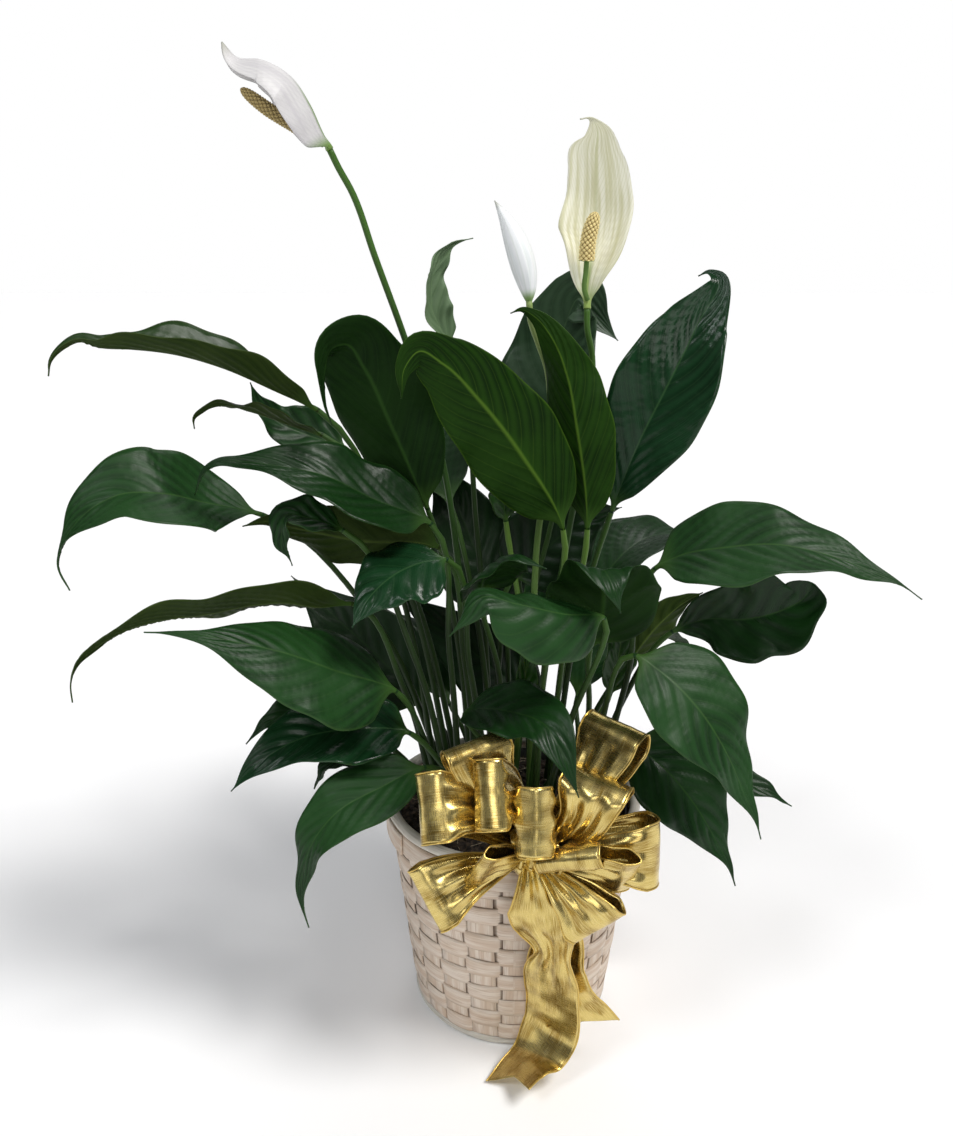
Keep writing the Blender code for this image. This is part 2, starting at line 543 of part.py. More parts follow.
def woven_wall_points():
    """Points of the woven wall, one closed profile for each direction round the axis.

    Outside, a weaver in row k stands out by the relief times cos(pi u + pi k), where u counts staves round
    the wall, so it passes over every second stave and under the others, and the next row does the opposite.
    """
    row_height = (WALL_TOP - WALL_FOOT) / (WEAVER_ROWS + 1)
    heights = np.array([WALL_FOOT + (k + edge) * row_height
                        for k in range(WEAVER_ROWS + 1) for edge in (0.06, 0.94)])
    rows = np.repeat(np.arange(WEAVER_ROWS + 1), 2)
    heights[0] = WALL_FOOT
    heights[-1] = WALL_TOP
    u = np.arange(2 * STAVES) / 2
    angle = 2 * math.pi * u / STAVES - math.pi / 2
    relief = WEAVE_RELIEF * np.cos(math.pi * (u[:, None] + rows[None]))
    outer = wall_radius(heights) + WALL_THICKNESS / 2 + relief
    inner_heights = np.array([WALL_TOP, BAND_FOOT, WALL_FOOT])
    inner = np.broadcast_to(wall_radius(inner_heights) - WALL_THICKNESS / 2, (len(u), 3))
    radius = np.hstack([outer, inner])
    z = np.broadcast_to(np.concatenate([heights, inner_heights]), radius.shape)
    return np.stack([radius * np.cos(angle)[:, None], radius * np.sin(angle)[:, None], z], 2)


# Build the scene


def clear_scene():
    """Removes what a new file starts with."""
    for thing in list(bpy.data.objects):
        bpy.data.objects.remove(thing)


def make_collection(name, shown=True):
    """A collection in the scene, left out of renders where it holds helpers."""
    group = bpy.data.collections.new(name)
    bpy.context.scene.collection.children.link(group)
    group.hide_render = not shown
    return group


def make_material(name, colour, roughness, metallic=0.0):
    """A plain surface of one colour."""
    surface = bpy.data.materials.new(name)
    surface.use_nodes = True
    shader = surface.node_tree.nodes["Principled BSDF"]
    shader.inputs["Base Color"].default_value = (*colour, 1)
    shader.inputs["Roughness"].default_value = roughness
    shader.inputs["Metallic"].default_value = metallic
    surface.diffuse_color = (*colour, 1)
    return surface


def add_mesh(name, points, faces, surface, group):
    """A smooth-shaded mesh object from points in millimetres."""
    mesh = bpy.data.meshes.new(name)
    mesh.from_pydata((np.asarray(points) * MM).tolist(), [], faces)
    mesh.materials.append(surface)
    mesh.shade_smooth()
    thing = bpy.data.objects.new(name, mesh)
    group.objects.link(thing)
    face_outwards(mesh)
    return thing


def face_outwards(mesh):
    """Turns a closed mesh's faces so that they all point out."""
    shape = bmesh.new()
    shape.from_mesh(mesh)
    bmesh.ops.recalc_face_normals(shape, faces=shape.faces)
    if shape.calc_volume(signed=True) < 0:
        bmesh.ops.reverse_faces(shape, faces=shape.faces)
    shape.to_mesh(mesh)
    shape.free()


def band_faces(rings, around):
    """Triangles between neighbouring rings.

    The quads of the first half of a ring and those of the second half split alike, so that the two faces of a
    thin blade stay parallel.
    """
    faces = []
    for i in range(rings - 1):
        for j in range(around):
            k = (j + 1) % around
            a, b, c, d = i * around + j, i * around + k, (i + 1) * around + k, (i + 1) * around + j
            if j < around // 2:
                faces += [(a, b, c), (a, c, d)]
            else:
                faces += [(a, b, d), (b, c, d)]
    return faces


def cap_faces(start, around, turned):
    """Triangles that close a ring, in strips from one half of it to the other."""
    faces = []
    for k in range(around // 2 - 1):
        a, b, c, d = k, k + 1, around - 2 - k, around - 1 - k
        faces += [(a, b, c), (a, c, d)]
    return [tuple(start + v for v in (face[::-1] if turned else face)) for face in faces]


def add_loft(name, rings, surface, group):
    """A closed skin over rings that have the same number of points, with both ends capped."""
    count, around, _ = rings.shape
    faces = band_faces(count, around)
    faces += cap_faces(0, around, True)
    faces += cap_faces((count - 1) * around, around, False)
    return add_mesh(name, rings.reshape(-1, 3), faces, surface, group)


def add_closed_grid(name, grid, surface, group):
    """A skin over a grid that closes on itself both ways, such as a turned wall with relief."""
    across, around, _ = grid.shape
    faces = []
    for i in range(across):
        for j in range(around):
            k, m = (i + 1) % across, (j + 1) % around
            a, b, c, d = i * around + j, i * around + m, k * around + m, k * around + j
            faces += [(a, b, c), (a, c, d)]
    return add_mesh(name, grid.reshape(-1, 3), faces, surface, group)


def add_turned(name, profile, surface, group, steps=36):
    """A shape turned about Z from a profile of (radius, height) that runs down its outer side."""
    mesh = bpy.data.meshes.new(name)
    points = [(radius * MM, 0, height * MM) for radius, height in profile]
    on_axis = profile[0][0] == 0
    edges = [(i, i + 1) for i in range(len(points) - 1)]
    if not on_axis:
        edges.append((len(points) - 1, 0))
    mesh.from_pydata(points, edges, [])
    mesh.materials.append(surface)
    thing = bpy.data.objects.new(name, mesh)
    group.objects.link(thing)
    screw = thing.modifiers.new("turn", "SCREW")
    screw.steps = steps
    screw.render_steps = steps
    screw.use_merge_vertices = True
    screw.merge_threshold = 0.00001
    screw.use_smooth_shade = True
    return thing


def add_ring(name, radius, section, height, surface, group, around=40, sides=6):
    """A round hoop that lies level at a height."""
    bpy.ops.mesh.primitive_torus_add(major_radius=radius * MM, minor_radius=section * MM,
                                     major_segments=around, minor_segments=sides,
                                     location=(0, 0, height * MM))
    thing = bpy.context.object
    thing.name = name
    thing.data.name = name
    thing.data.materials.append(surface)
    thing.data.shade_smooth()
    for holder in list(thing.users_collection):
        holder.objects.unlink(thing)
    group.objects.link(thing)
    return thing


def build_basket(group):
    """The woven basket: base, foot hoop, wall, rim band and rim reed."""
    chip = make_material("whitewashed_chip", (0.66, 0.55, 0.48), 0.75)
    pale = make_material("pale_reed", (0.62, 0.60, 0.54), 0.65)
    base_radius = FOOT_RADIUS - FOOT_HOOP_RADIUS - GAP
    bpy.ops.mesh.primitive_cylinder_add(vertices=48, radius=base_radius * MM, depth=FLOOR_THICKNESS * MM,
                                        location=(0, 0, FLOOR_THICKNESS / 2 * MM))
    base = bpy.context.object
    base.name = "basket_base"
    base.data.name = "basket_base"
    base.data.materials.append(chip)
    for holder in list(base.users_collection):
        holder.objects.unlink(base)
    group.objects.link(base)
    add_ring("basket_foot_hoop", FOOT_RADIUS, FOOT_HOOP_RADIUS, FOOT_HOOP_RADIUS, pale, group)
    add_closed_grid("basket_woven_wall", woven_wall_points(), chip, group)
    band = [(BAND_OUTER, WALL_TOP), (BAND_OUTER, BAND_FOOT), (BAND_INNER, BAND_FOOT), (BAND_INNER, WALL_TOP)]
    add_turned("basket_rim_band", band, chip, group)
    reed_radius = BAND_OUTER - REED_RADIUS
    add_ring("basket_rim_reed", reed_radius, REED_RADIUS, BASKET_HEIGHT - REED_RADIUS, pale, group)


def liner_radius(z):
    """Outer radius of the liner at a height, just inside the basket's wall."""
    return float(wall_radius(z)) - WALL_THICKNESS / 2 - GAP


def build_liner(group):
    """The thin plastic liner that keeps the wet soil off the basket."""
    plastic = make_material("liner_plastic", (0.02, 0.02, 0.018), 0.45)
    top, foot = WALL_TOP - 2, FLOOR_THICKNESS + GAP
    wall = LINER_THICKNESS
    outer = [(liner_radius(top), top), (liner_radius(BAND_FOOT), BAND_FOOT),
             (liner_radius(foot), foot + FOOT_BEVEL), (liner_radius(foot) - FOOT_BEVEL, foot)]
    inner = [(radius - wall, height) for radius, height in reversed(outer)]
    inner[0] = (inner[0][0], foot + wall)
    profile = [(0, foot + wall), *inner, *outer, (0, foot)]
    add_turned("plastic_liner", profile, plastic, group)


def build_soil(group, cutters, places):
    """The soil that fills the liner, domed at the crown, with a hole for each stem and for the bow's pick."""
    earth = make_material("potting_soil", (0.035, 0.024, 0.016), 0.95)
    foot = FLOOR_THICKNESS + 2 * GAP + LINER_THICKNESS
    inset = LINER_THICKNESS + 2 * GAP
    edge = liner_radius(BAND_FOOT) - inset
    surface = [(radius, SOIL_TOP + rise) for radius, rise in SOIL_DOME]
    profile = [*surface, (edge - 2, SOIL_TOP - 3), (edge, BAND_FOOT),
               (liner_radius(foot) - inset, foot + FOOT_BEVEL),
               (liner_radius(foot) - inset - FOOT_BEVEL, foot), (0, foot)]
    soil = add_turned("potting_soil", profile, earth, group)
    depth = STEM_DEPTH + SOIL_CROWN + 10
    for k, (x, y, radius) in enumerate(places):
        bpy.ops.mesh.primitive_cylinder_add(
            vertices=HOLE_SIDES, radius=radius * MM, depth=depth * MM,
            location=(x * MM, y * MM, (SOIL_TOP - STEM_DEPTH - GAP + depth / 2) * MM))
        cutter = bpy.context.object
        cutter.name = f"stem_hole_{k}"
        for holder in list(cutter.users_collection):
            holder.objects.unlink(cutter)
        cutters.objects.link(cutter)
        cutter.hide_render = True
        cutter.display_type = "WIRE"
    holes = soil.modifiers.new("holes", "BOOLEAN")
    holes.operation = "DIFFERENCE"
    holes.operand_type = "COLLECTION"
    holes.collection = cutters
    holes.solver = "EXACT"


def build_leaves(group, places):
    """Each leaf with its stem, as one piece."""
    green = make_material("leaf_green", (0.028, 0.10, 0.032), 0.38)
    for leaf in LEAVES:
        add_loft(leaf.name, leaf_rings(leaf, places[leaf.name]), green, group)


def build_blooms(group, places):
    """Each flower's stem, spathe and spadix."""
    stem = make_material("flower_stem", (0.22, 0.38, 0.13), 0.5)
    white = make_material("spathe_white", (0.86, 0.85, 0.74), 0.5)
    cream = make_material("spadix_cream", (0.72, 0.62, 0.30), 0.7)
    for bloom in BLOOMS:
        add_loft(f"{bloom.name}_stem", scape_rings(bloom, places[bloom.name]), stem, group)
        if bloom.spadix:
            add_loft(f"{bloom.name}_spathe", spathe_rings(bloom.spathe), white, group)
            add_loft(f"{bloom.name}_spadix", spadix_rings(bloom), cream, group)
        else:
            add_loft(f"{bloom.name}_spathe", bud_rings(bloom.spathe), white, group)


def build_bow(group, helpers):
    """The ribbon bow, fused at its knot, and the wire pick that holds it over the rim."""
    gold = make_material("gold_ribbon", (0.72, 0.50, 0.16), 0.28, metallic=0.9)
    wire = make_material("green_wire", (0.03, 0.12, 0.05), 0.5)
    bpy.ops.mesh.primitive_uv_sphere_add(segments=8, ring_count=5, radius=KNOT_RADIUS * MM,
                                         location=[value * MM for value in KNOT])
    knot = bpy.context.object
    knot.name = "bow_ribbon"
    knot.data.name = "bow_ribbon"
    knot.data.materials.append(gold)
    for holder in list(knot.users_collection):
        holder.objects.unlink(knot)
    group.objects.link(knot)
    for k, loop in enumerate(LOOPS):
        add_loft(f"loop_{k}", loop_rings(loop), gold, helpers)
    for k, tail in enumerate(TAILS):
        add_loft(f"tail_{k}", tail_rings(tail), gold, helpers)
    join = knot.modifiers.new("join", "BOOLEAN")
    join.operation = "UNION"
    join.operand_type = "COLLECTION"
    join.collection = helpers
    join.solver = "MANIFOLD"
    with bpy.context.temp_override(object=knot, active_object=knot):
        bpy.ops.object.modifier_apply(modifier=join.name)
    for thing in list(helpers.objects):
        bpy.data.objects.remove(thing)
    knot.data.shade_smooth()
    rings = tube_rings(PICK_PATH, PICK_RADIUS, 10, around=6, start_up=False)
    sunk = rings[-1].copy()
    sunk[:, 2] = SOIL_TOP - STEM_DEPTH
    add_loft("bow_pick", np.concatenate([rings, sunk[None]]), wire, group)


def main():
    """Builds the whole plant in its basket."""
    clear_scene()
    group = make_collection("potted_peace_lily")
    cutters = make_collection("stem_holes", shown=False)
    helpers = make_collection("bow_parts", shown=False)
    bases = {leaf.name: leaf.midrib[0] for leaf in LEAVES}
    bases.update({bloom.name: bloom.scape[0] for bloom in BLOOMS})
    places = choose_sockets(bases)
    hole = (PETIOLE_RADIUS + GAP) / math.cos(math.pi / HOLE_SIDES)
    pick_hole = (PICK_RADIUS + GAP) / math.cos(math.pi / HOLE_SIDES)
    holes = [(x, y, hole) for x, y in places.values()]
    holes.append((PICK_PATH[-1][0], PICK_PATH[-1][1], pick_hole))
    build_basket(group)
    build_liner(group)
    build_soil(group, cutters, holes)
    build_leaves(group, places)
    build_blooms(group, places)
    build_bow(group, helpers)


main()
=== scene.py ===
"""Looks of a potted peace lily in a chip-wood basket with a gold ribbon bow.

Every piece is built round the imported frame, +Z up and -Y to the front. Lengths are in millimetres unless a
name says otherwise, and build_piece turns them to metres. Angles are in degrees where a name says so.
"""

import json
import logging
import math
from dataclasses import dataclass
from enum import Enum

import bpy
import numpy as np
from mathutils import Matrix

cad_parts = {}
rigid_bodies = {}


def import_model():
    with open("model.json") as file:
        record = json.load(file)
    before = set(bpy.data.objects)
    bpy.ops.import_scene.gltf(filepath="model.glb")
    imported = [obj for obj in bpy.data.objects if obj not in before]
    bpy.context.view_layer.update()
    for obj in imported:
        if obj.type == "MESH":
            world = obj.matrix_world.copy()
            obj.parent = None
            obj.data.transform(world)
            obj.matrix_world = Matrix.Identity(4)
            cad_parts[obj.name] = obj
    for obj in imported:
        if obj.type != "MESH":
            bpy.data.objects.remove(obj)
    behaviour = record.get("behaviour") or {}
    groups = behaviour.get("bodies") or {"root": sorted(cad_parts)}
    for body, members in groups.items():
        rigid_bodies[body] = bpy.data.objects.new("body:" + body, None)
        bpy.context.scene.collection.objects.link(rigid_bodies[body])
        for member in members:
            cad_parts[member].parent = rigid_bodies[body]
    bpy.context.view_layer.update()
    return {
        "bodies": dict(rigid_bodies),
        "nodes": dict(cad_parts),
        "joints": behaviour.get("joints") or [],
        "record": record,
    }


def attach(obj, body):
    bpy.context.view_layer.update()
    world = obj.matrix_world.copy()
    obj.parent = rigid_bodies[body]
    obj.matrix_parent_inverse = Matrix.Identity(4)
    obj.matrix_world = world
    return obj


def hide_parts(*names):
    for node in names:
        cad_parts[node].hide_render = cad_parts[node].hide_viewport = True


log = logging.getLogger("peace_lily")

MM = 0.001
Socket = bpy.types.NodeSocket
Pair = tuple[float, float]
Triple = tuple[float, float, float]
Colour = tuple[int, int, int]

# The first normal of a tube: any direction that no tube starts along.
TUBE_NORMAL = np.array([0.13, -1.0, 0.07])


# Shapes as arrays


def unit(vectors: np.ndarray) -> np.ndarray:
    """Returns the vector or vectors at length one."""
    vectors = np.asarray(vectors, float)
    return vectors / np.maximum(np.linalg.norm(vectors, axis=-1, keepdims=True), 1e-12)


def eased(x: np.ndarray, low: float, high: float) -> np.ndarray:
    """Returns 0 below low and 1 above high, with an S-shaped rise of 3t^2 - 2t^3 between."""
    t = np.clip((np.asarray(x, float) - low) / (high - low), 0, 1)
    return t * t * (3 - 2 * t)


def runs_of(points: np.ndarray) -> np.ndarray:
    """Returns how far along a line each of its points lies."""
    return np.concatenate([[0.0], np.cumsum(np.linalg.norm(np.diff(points, axis=0), axis=1))])


def smooth_path(points: np.ndarray | tuple | list, fine: int = 24) -> np.ndarray:
    """Makes a dense curve through points.

    Each span is a cubic with a given slope at both ends: the central difference over the chords there.

    Args:
        points: The points to pass through, n by 3.
        fine: Steps in each span.

    Returns:
        The points of the dense curve.
    """
    points = np.asarray(points, float)
    slopes = np.gradient(points, runs_of(points), axis=0)
    u = np.linspace(0, 1, fine, endpoint=False)[None, :, None]
    span = np.linalg.norm(np.diff(points, axis=0), axis=1)[:, None, None]
    near, far = points[:-1, None], points[1:, None]
    near_slope, far_slope = slopes[:-1, None] * span, slopes[1:, None] * span
    runs = ((2 * u ** 3 - 3 * u ** 2 + 1) * near + (u ** 3 - 2 * u ** 2 + u) * near_slope
            + (3 * u ** 2 - 2 * u ** 3) * far + (u ** 3 - u ** 2) * far_slope)
    return np.vstack([runs.reshape(-1, 3), points[-1:]])


def run_length(curve: np.ndarray) -> float:
    """Returns the length of a dense curve."""
    return float(runs_of(curve)[-1])


def along(curve: np.ndarray, where: np.ndarray) -> np.ndarray:
    """Returns the points at the given shares of a dense curve's length."""
    runs = runs_of(curve)
    return np.stack([np.interp(where * runs[-1], runs, curve[:, k]) for k in range(3)], 1)


def tangents_of(points: np.ndarray) -> np.ndarray:
    """Returns unit tangents by central differences."""
    return unit(np.gradient(points, axis=0))


def carried_normals(tangents: np.ndarray, start: int, normal: np.ndarray) -> np.ndarray:
    """Carries a normal both ways along a curve with the least turning.

    Args:
        tangents: Unit tangents, n by 3.
        start: The index at which the normal is given.
        normal: The normal there, made square to the tangent.

    Returns:
        One unit normal for each tangent.
    """
    normals = np.zeros_like(tangents)
    normals[start] = unit(normal - np.dot(normal, tangents[start]) * tangents[start])
    for step, stop in ((1, len(tangents)), (-1, -1)):
        for i in range(start + step, stop, step):
            before = normals[i - step]
            normals[i] = unit(before - np.dot(before, tangents[i]) * tangents[i])
    return normals


def turned_about(vectors: np.ndarray, axes: np.ndarray, degrees: np.ndarray) -> np.ndarray:
    """Turns each vector about its own axis: the part along the axis stays and the rest goes round."""
    angle = np.radians(degrees)[:, None]
    return (vectors * np.cos(angle) + np.cross(axes, vectors) * np.sin(angle)
            + axes * np.sum(axes * vectors, axis=1, keepdims=True) * (1 - np.cos(angle)))


def angles_round(count: int) -> np.ndarray:
    """Returns the evenly spaced angles of one full turn, from 0."""
    return 2 * math.pi * np.arange(count) / count


def stacked(x: np.ndarray | float, y: np.ndarray | float, z: np.ndarray | float) -> np.ndarray:
    """Returns three arrays as the last axis of one, each spread out to their common shape."""
    return np.stack(np.broadcast_arrays(x, y, z), -1)


def round_axis(radius: np.ndarray | float, turn: np.ndarray, height: np.ndarray | float) -> np.ndarray:
    """Returns the points at radii from the Z axis, at turns about it and at heights."""
    return stacked(radius * np.cos(turn), radius * np.sin(turn), height)


def two_faced(middle: np.ndarray, half: np.ndarray | float = 0.0) -> np.ndarray:
    """Returns rows that run out along one face, half above the middle, and back along the other."""
    return np.concatenate([middle + half, (middle - half)[:, ::-1]], 1)


def wander(points: np.ndarray, pitch: float, seed: int, waves: int = 18) -> np.ndarray:
    """Makes a smooth random field: the mean of plane waves in seeded directions, scaled to about -1 to 1.

    Args:
        points: Where it is read, any shape ending in 3.
        pitch: Rough distance between crests, in the points' unit.
        seed: Seed of the directions and phases.
        waves: How many waves are added.

    Returns:
        One value for each point.
    """
    draw = np.random.default_rng(seed)
    ways = unit(draw.normal(size=(waves, 3))) * draw.uniform(0.6, 1.5, (waves, 1))
    phases = draw.uniform(0, 2 * math.pi, waves)
    total = np.zeros(points.shape[:-1])
    for way, phase in zip(ways, phases):
        total += np.sin(points @ way * (2 * math.pi / pitch) + phase)
    return total / math.sqrt(waves)


def blade_share(s: np.ndarray, shape: Pair) -> np.ndarray:
    """Returns half width along a blade as a share of its widest: s^a (1 - s)^b over its own peak."""
    a, b = shape
    peak = a / (a + b)
    return np.clip(s, 0, 1) ** a * np.clip(1 - s, 0, 1) ** b / (peak ** a * (1 - peak) ** b)


@dataclass
class Patch:
    """A surface of four-sided faces, with values kept at its points and a finish number for each face."""

    points: np.ndarray
    quads: np.ndarray
    values: np.ndarray
    finish: np.ndarray

    def outward(self) -> "Patch":
        """Turns a closed surface's faces round if they point in, which its signed volume tells."""
        a, b, c, d = (self.points[self.quads[:, k]] for k in range(4))
        middle = self.points.mean(0)
        volume = np.sum((a - middle) * np.cross(b - middle, c - middle))
        volume += np.sum((a - middle) * np.cross(c - middle, d - middle))
        if volume < 0:
            self.quads = self.quads[:, ::-1]
        return self


def joined(patches: list[Patch]) -> Patch:
    """Puts several patches into one, with their points still apart."""
    starts = np.cumsum([0] + [len(patch.points) for patch in patches[:-1]])
    return Patch(np.concatenate([patch.points for patch in patches]),
                 np.concatenate([patch.quads + start for patch, start in zip(patches, starts)]),
                 np.concatenate([patch.values for patch in patches]),
                 np.concatenate([patch.finish for patch in patches]))


def grid_patch(grid: np.ndarray, values: np.ndarray, finish: np.ndarray | int = 0,
               loop_rows: bool = False) -> Patch:
    """Skins a grid of points whose columns close on themselves.

    Strips of faces close the end rings, unless the last ring joins the first.

    Args:
        grid: Points, rows by columns by 3; a row is one ring.
        values: Three values for each point.
        finish: The finish number of every face, or one for each row step and column.
        loop_rows: Whether the last ring joins the first.

    Returns:
        The closed patch, facing outwards.
    """
    rows, columns, _ = grid.shape
    steps = rows if loop_rows else rows - 1
    i, j = np.meshgrid(np.arange(steps), np.arange(columns), indexing="ij")
    k, m = (i + 1) % rows, (j + 1) % columns
    corners = (i * columns + j, i * columns + m, k * columns + m, k * columns + j)
    quads = np.stack(corners, -1).reshape(-1, 4)
    marks = np.broadcast_to(finish, (steps, columns)).reshape(-1)
    if not loop_rows:
        n = np.arange(columns // 2 - 1)
        cap = np.stack([n, n + 1, columns - 2 - n, columns - 1 - n], 1)
        quads = np.concatenate([quads, cap[:, ::-1], cap + (rows - 1) * columns])
        marks = np.concatenate([marks, np.full(len(n), marks[0]), np.full(len(n), marks[-1])])
    return Patch(grid.reshape(-1, 3), quads, values.reshape(-1, 3).astype(float), marks).outward()


def rings_round(centres: np.ndarray, normals: np.ndarray, sides: np.ndarray,
                reach: np.ndarray) -> np.ndarray:
    """Makes rings about centres: point j of n lies reach away, at the angle 2 pi j / n.

    Args:
        centres: Ring centres, one a row.
        normals: Unit vectors at angle 0, one a row.
        sides: Unit vectors at a quarter turn, one a row.
        reach: Radii, with a row for each ring and a column for each point in it.

    Returns:
        The rings, rows by columns by 3.
    """
    angle = angles_round(reach.shape[1])
    return (centres[:, None] + (reach * np.cos(angle))[..., None] * normals[:, None]
            + (reach * np.sin(angle))[..., None] * sides[:, None])


def tube_patch(curve: np.ndarray, radius: np.ndarray | float, around: int) -> Patch:
    """Skins a round tube along points; its values are the share of its points, the angle's share and 0."""
    count = len(curve)
    tangents = tangents_of(curve)
    normals = carried_normals(tangents, 0, TUBE_NORMAL)
    reach = np.broadcast_to(np.asarray(radius, float).reshape(-1, 1), (count, around))
    grid = rings_round(curve, normals, np.cross(tangents, normals), reach)
    return grid_patch(grid, stacked(np.linspace(0, 1, count)[:, None], np.arange(around) / around, 0.0))


def build_piece(name: str, patch: Patch, finishes: list[bpy.types.Material],
                replaced: tuple[str, ...] = ()) -> bpy.types.Object:
    """Makes an object of a patch, with its place in its mesh, and gives it to the frame.

    Args:
        name: The piece's name.
        patch: Its surface, in millimetres.
        finishes: The materials that the patch's finish numbers count.
        replaced: The CAD nodes that it stands for.

    Returns:
        The object, riding on the part's only body.
    """
    mesh = bpy.data.meshes.new(name)
    mesh.from_pydata((patch.points * MM).tolist(), [], patch.quads.tolist())
    for finish in finishes:
        mesh.materials.append(finish)
    mesh.polygons.foreach_set("material_index", patch.finish.astype(np.int32))
    layer = mesh.attributes.new("surface", "FLOAT_VECTOR", "POINT")
    layer.data.foreach_set("vector", patch.values.astype(np.float32).ravel())
    mesh.shade_smooth()
    mesh.update()
    piece = bpy.data.objects.new(name, mesh)
    bpy.context.scene.collection.objects.link(piece)
    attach(piece, "root")
    if replaced:
        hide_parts(*replaced)
    log.info("%s: %d faces", name, len(patch.quads))
    return piece


# Finishes


def seen(red: int, green: int, blue: int) -> Triple:
    """Turns a display colour, 0 to 255 a channel, into the linear colour that a shader takes."""
    parts = [value / 255 for value in (red, green, blue)]
    linear = [part / 12.92 if part <= 0.04045 else ((part + 0.055) / 1.055) ** 2.4 for part in parts]
    return linear[0], linear[1], linear[2]


def dimmed(colour: Colour, share: float) -> Colour:
    """Returns a display colour at a share of its brightness."""
    red, green, blue = (round(value * share) for value in colour)
    return red, green, blue


class Shader:
    """A material's node tree, built one node at a time round its surface shader."""

    def __init__(self, name: str, colour: Triple, roughness: float, metallic: float = 0.0) -> None:
        """Makes the material with plain values, which the nodes then vary."""
        self.material = bpy.data.materials.new(name)
        self.material.use_nodes = True
        self.material.diffuse_color = (*colour, 1)
        self.tree = self.material.node_tree
        self.surface = self.tree.nodes["Principled BSDF"]
        self.put("Base Color", (*colour, 1))
        self.put("Roughness", roughness)
        self.put("Metallic", metallic)

    def put(self, name: str, value: Socket | float | tuple) -> None:
        """Gives the shader's named input a value or a link."""
        self.plug(self.surface.inputs[name], value)

    def plug(self, socket: Socket, value: Socket | float | tuple) -> None:
        """Links the value if it is an output, and sets it as a constant otherwise."""
        if isinstance(value, bpy.types.NodeSocket):
            self.tree.links.new(value, socket)
        else:
            socket.default_value = value

    def add(self, kind: str, inputs: dict[str | int, Socket | float | tuple],
            **settings: str | bool) -> bpy.types.Node:
        """Adds a node of a kind, with its settings and its inputs."""
        node = self.tree.nodes.new(kind)
        for name, value in settings.items():
            setattr(node, name, value)
        for name, value in inputs.items():
            self.plug(node.inputs[name], value)
        return node

    def math(self, operation: str, *values: Socket | float) -> Socket:
        """Returns the result of an operation on one, two or three values."""
        return self.add("ShaderNodeMath", dict(enumerate(values)), operation=operation).outputs[0]

    def times(self, value: Socket, factor: Socket | float) -> Socket:
        """Returns a value times a factor."""
        return self.math("MULTIPLY", value, factor)

    def total(self, *parts: tuple[Socket, float]) -> Socket:
        """Returns the sum of values, each times its own weight."""
        whole, *rest = [self.times(value, weight) for value, weight in parts]
        for part in rest:
            whole = self.math("ADD", whole, part)
        return whole

    def mix(self, share: Socket | float, first: Socket | Triple, second: Socket | Triple) -> Socket:
        """Returns the colour that goes from the first to the second with the share."""
        ends = [(*end, 1) if isinstance(end, tuple) else end for end in (first, second)]
        return self.add("ShaderNodeMix", {0: share, 6: ends[0], 7: ends[1]}, data_type="RGBA").outputs[2]

    def ease(self, value: Socket, low: float, high: float, start: float = 0.0,
             end: float = 1.0) -> Socket:
        """Returns start below low and end above high, with a smooth step between them."""
        ends = {"Value": value, "From Min": low, "From Max": high, "To Min": start, "To Max": end}
        return self.add("ShaderNodeMapRange", ends, interpolation_type="SMOOTHSTEP").outputs["Result"]

    def surface_values(self) -> list[Socket]:
        """Returns the three values that the mesh keeps at its points."""
        kept = self.add("ShaderNodeAttribute", {}, attribute_name="surface").outputs["Vector"]
        return list(self.add("ShaderNodeSeparateXYZ", {0: kept}).outputs)

    def from_vein(self, phase: Socket) -> Socket:
        """Returns how far a point is from the nearest side vein: 0 on it, and 1 midway to the next."""
        return self.times(self.math("PINGPONG", phase, 0.5), 2.0)

    def stretched(self, x: tuple[Socket, float], y: tuple[Socket, float],
                  z: Socket | float = 0.0) -> Socket:
        """Returns the vector of two values, each times its own factor, and a third value as it is."""
        return self.add("ShaderNodeCombineXYZ", {0: self.times(*x), 1: self.times(*y), 2: z}).outputs[0]

    def place(self) -> Socket:
        """Returns the point on the object, in metres."""
        return self.add("ShaderNodeTexCoord", {}).outputs["Object"]

    def noise(self, vector: Socket, scale: float, detail: float = 3.0) -> Socket:
        """Returns a noise value of 0 to 1 at the vector."""
        ends = {"Vector": vector, "Scale": scale, "Detail": detail}
        return self.add("ShaderNodeTexNoise", ends).outputs[0]

    def bump(self, height: Socket, strength: float, distance_mm: float) -> None:
        """Tilts the shading by a height of 0 to 1 that stands for the distance."""
        node = self.add("ShaderNodeBump", {"Height": height, "Strength": strength,
                                           "Distance": distance_mm * MM})
        self.put("Normal", node.outputs[0])


STEM_GREEN = (70, 104, 42)


@dataclass(frozen=True)
class Face:
    """The look of one face of a blade: what it adds to the roughness, its rib and veins, and its shine."""

    rougher: float
    rib_reach: float
    rib_weight: float
    vein_weight: float
    specular: float


class Side(Enum):
    """The two faces of a blade. Below, ribs are paler and the gloss is softer."""

    UPPER = Face(0.0, 0.035, 0.4, 0.1, 0.23)
    LOWER = Face(0.16, 0.07, 0.7, 0.13, 0.06)


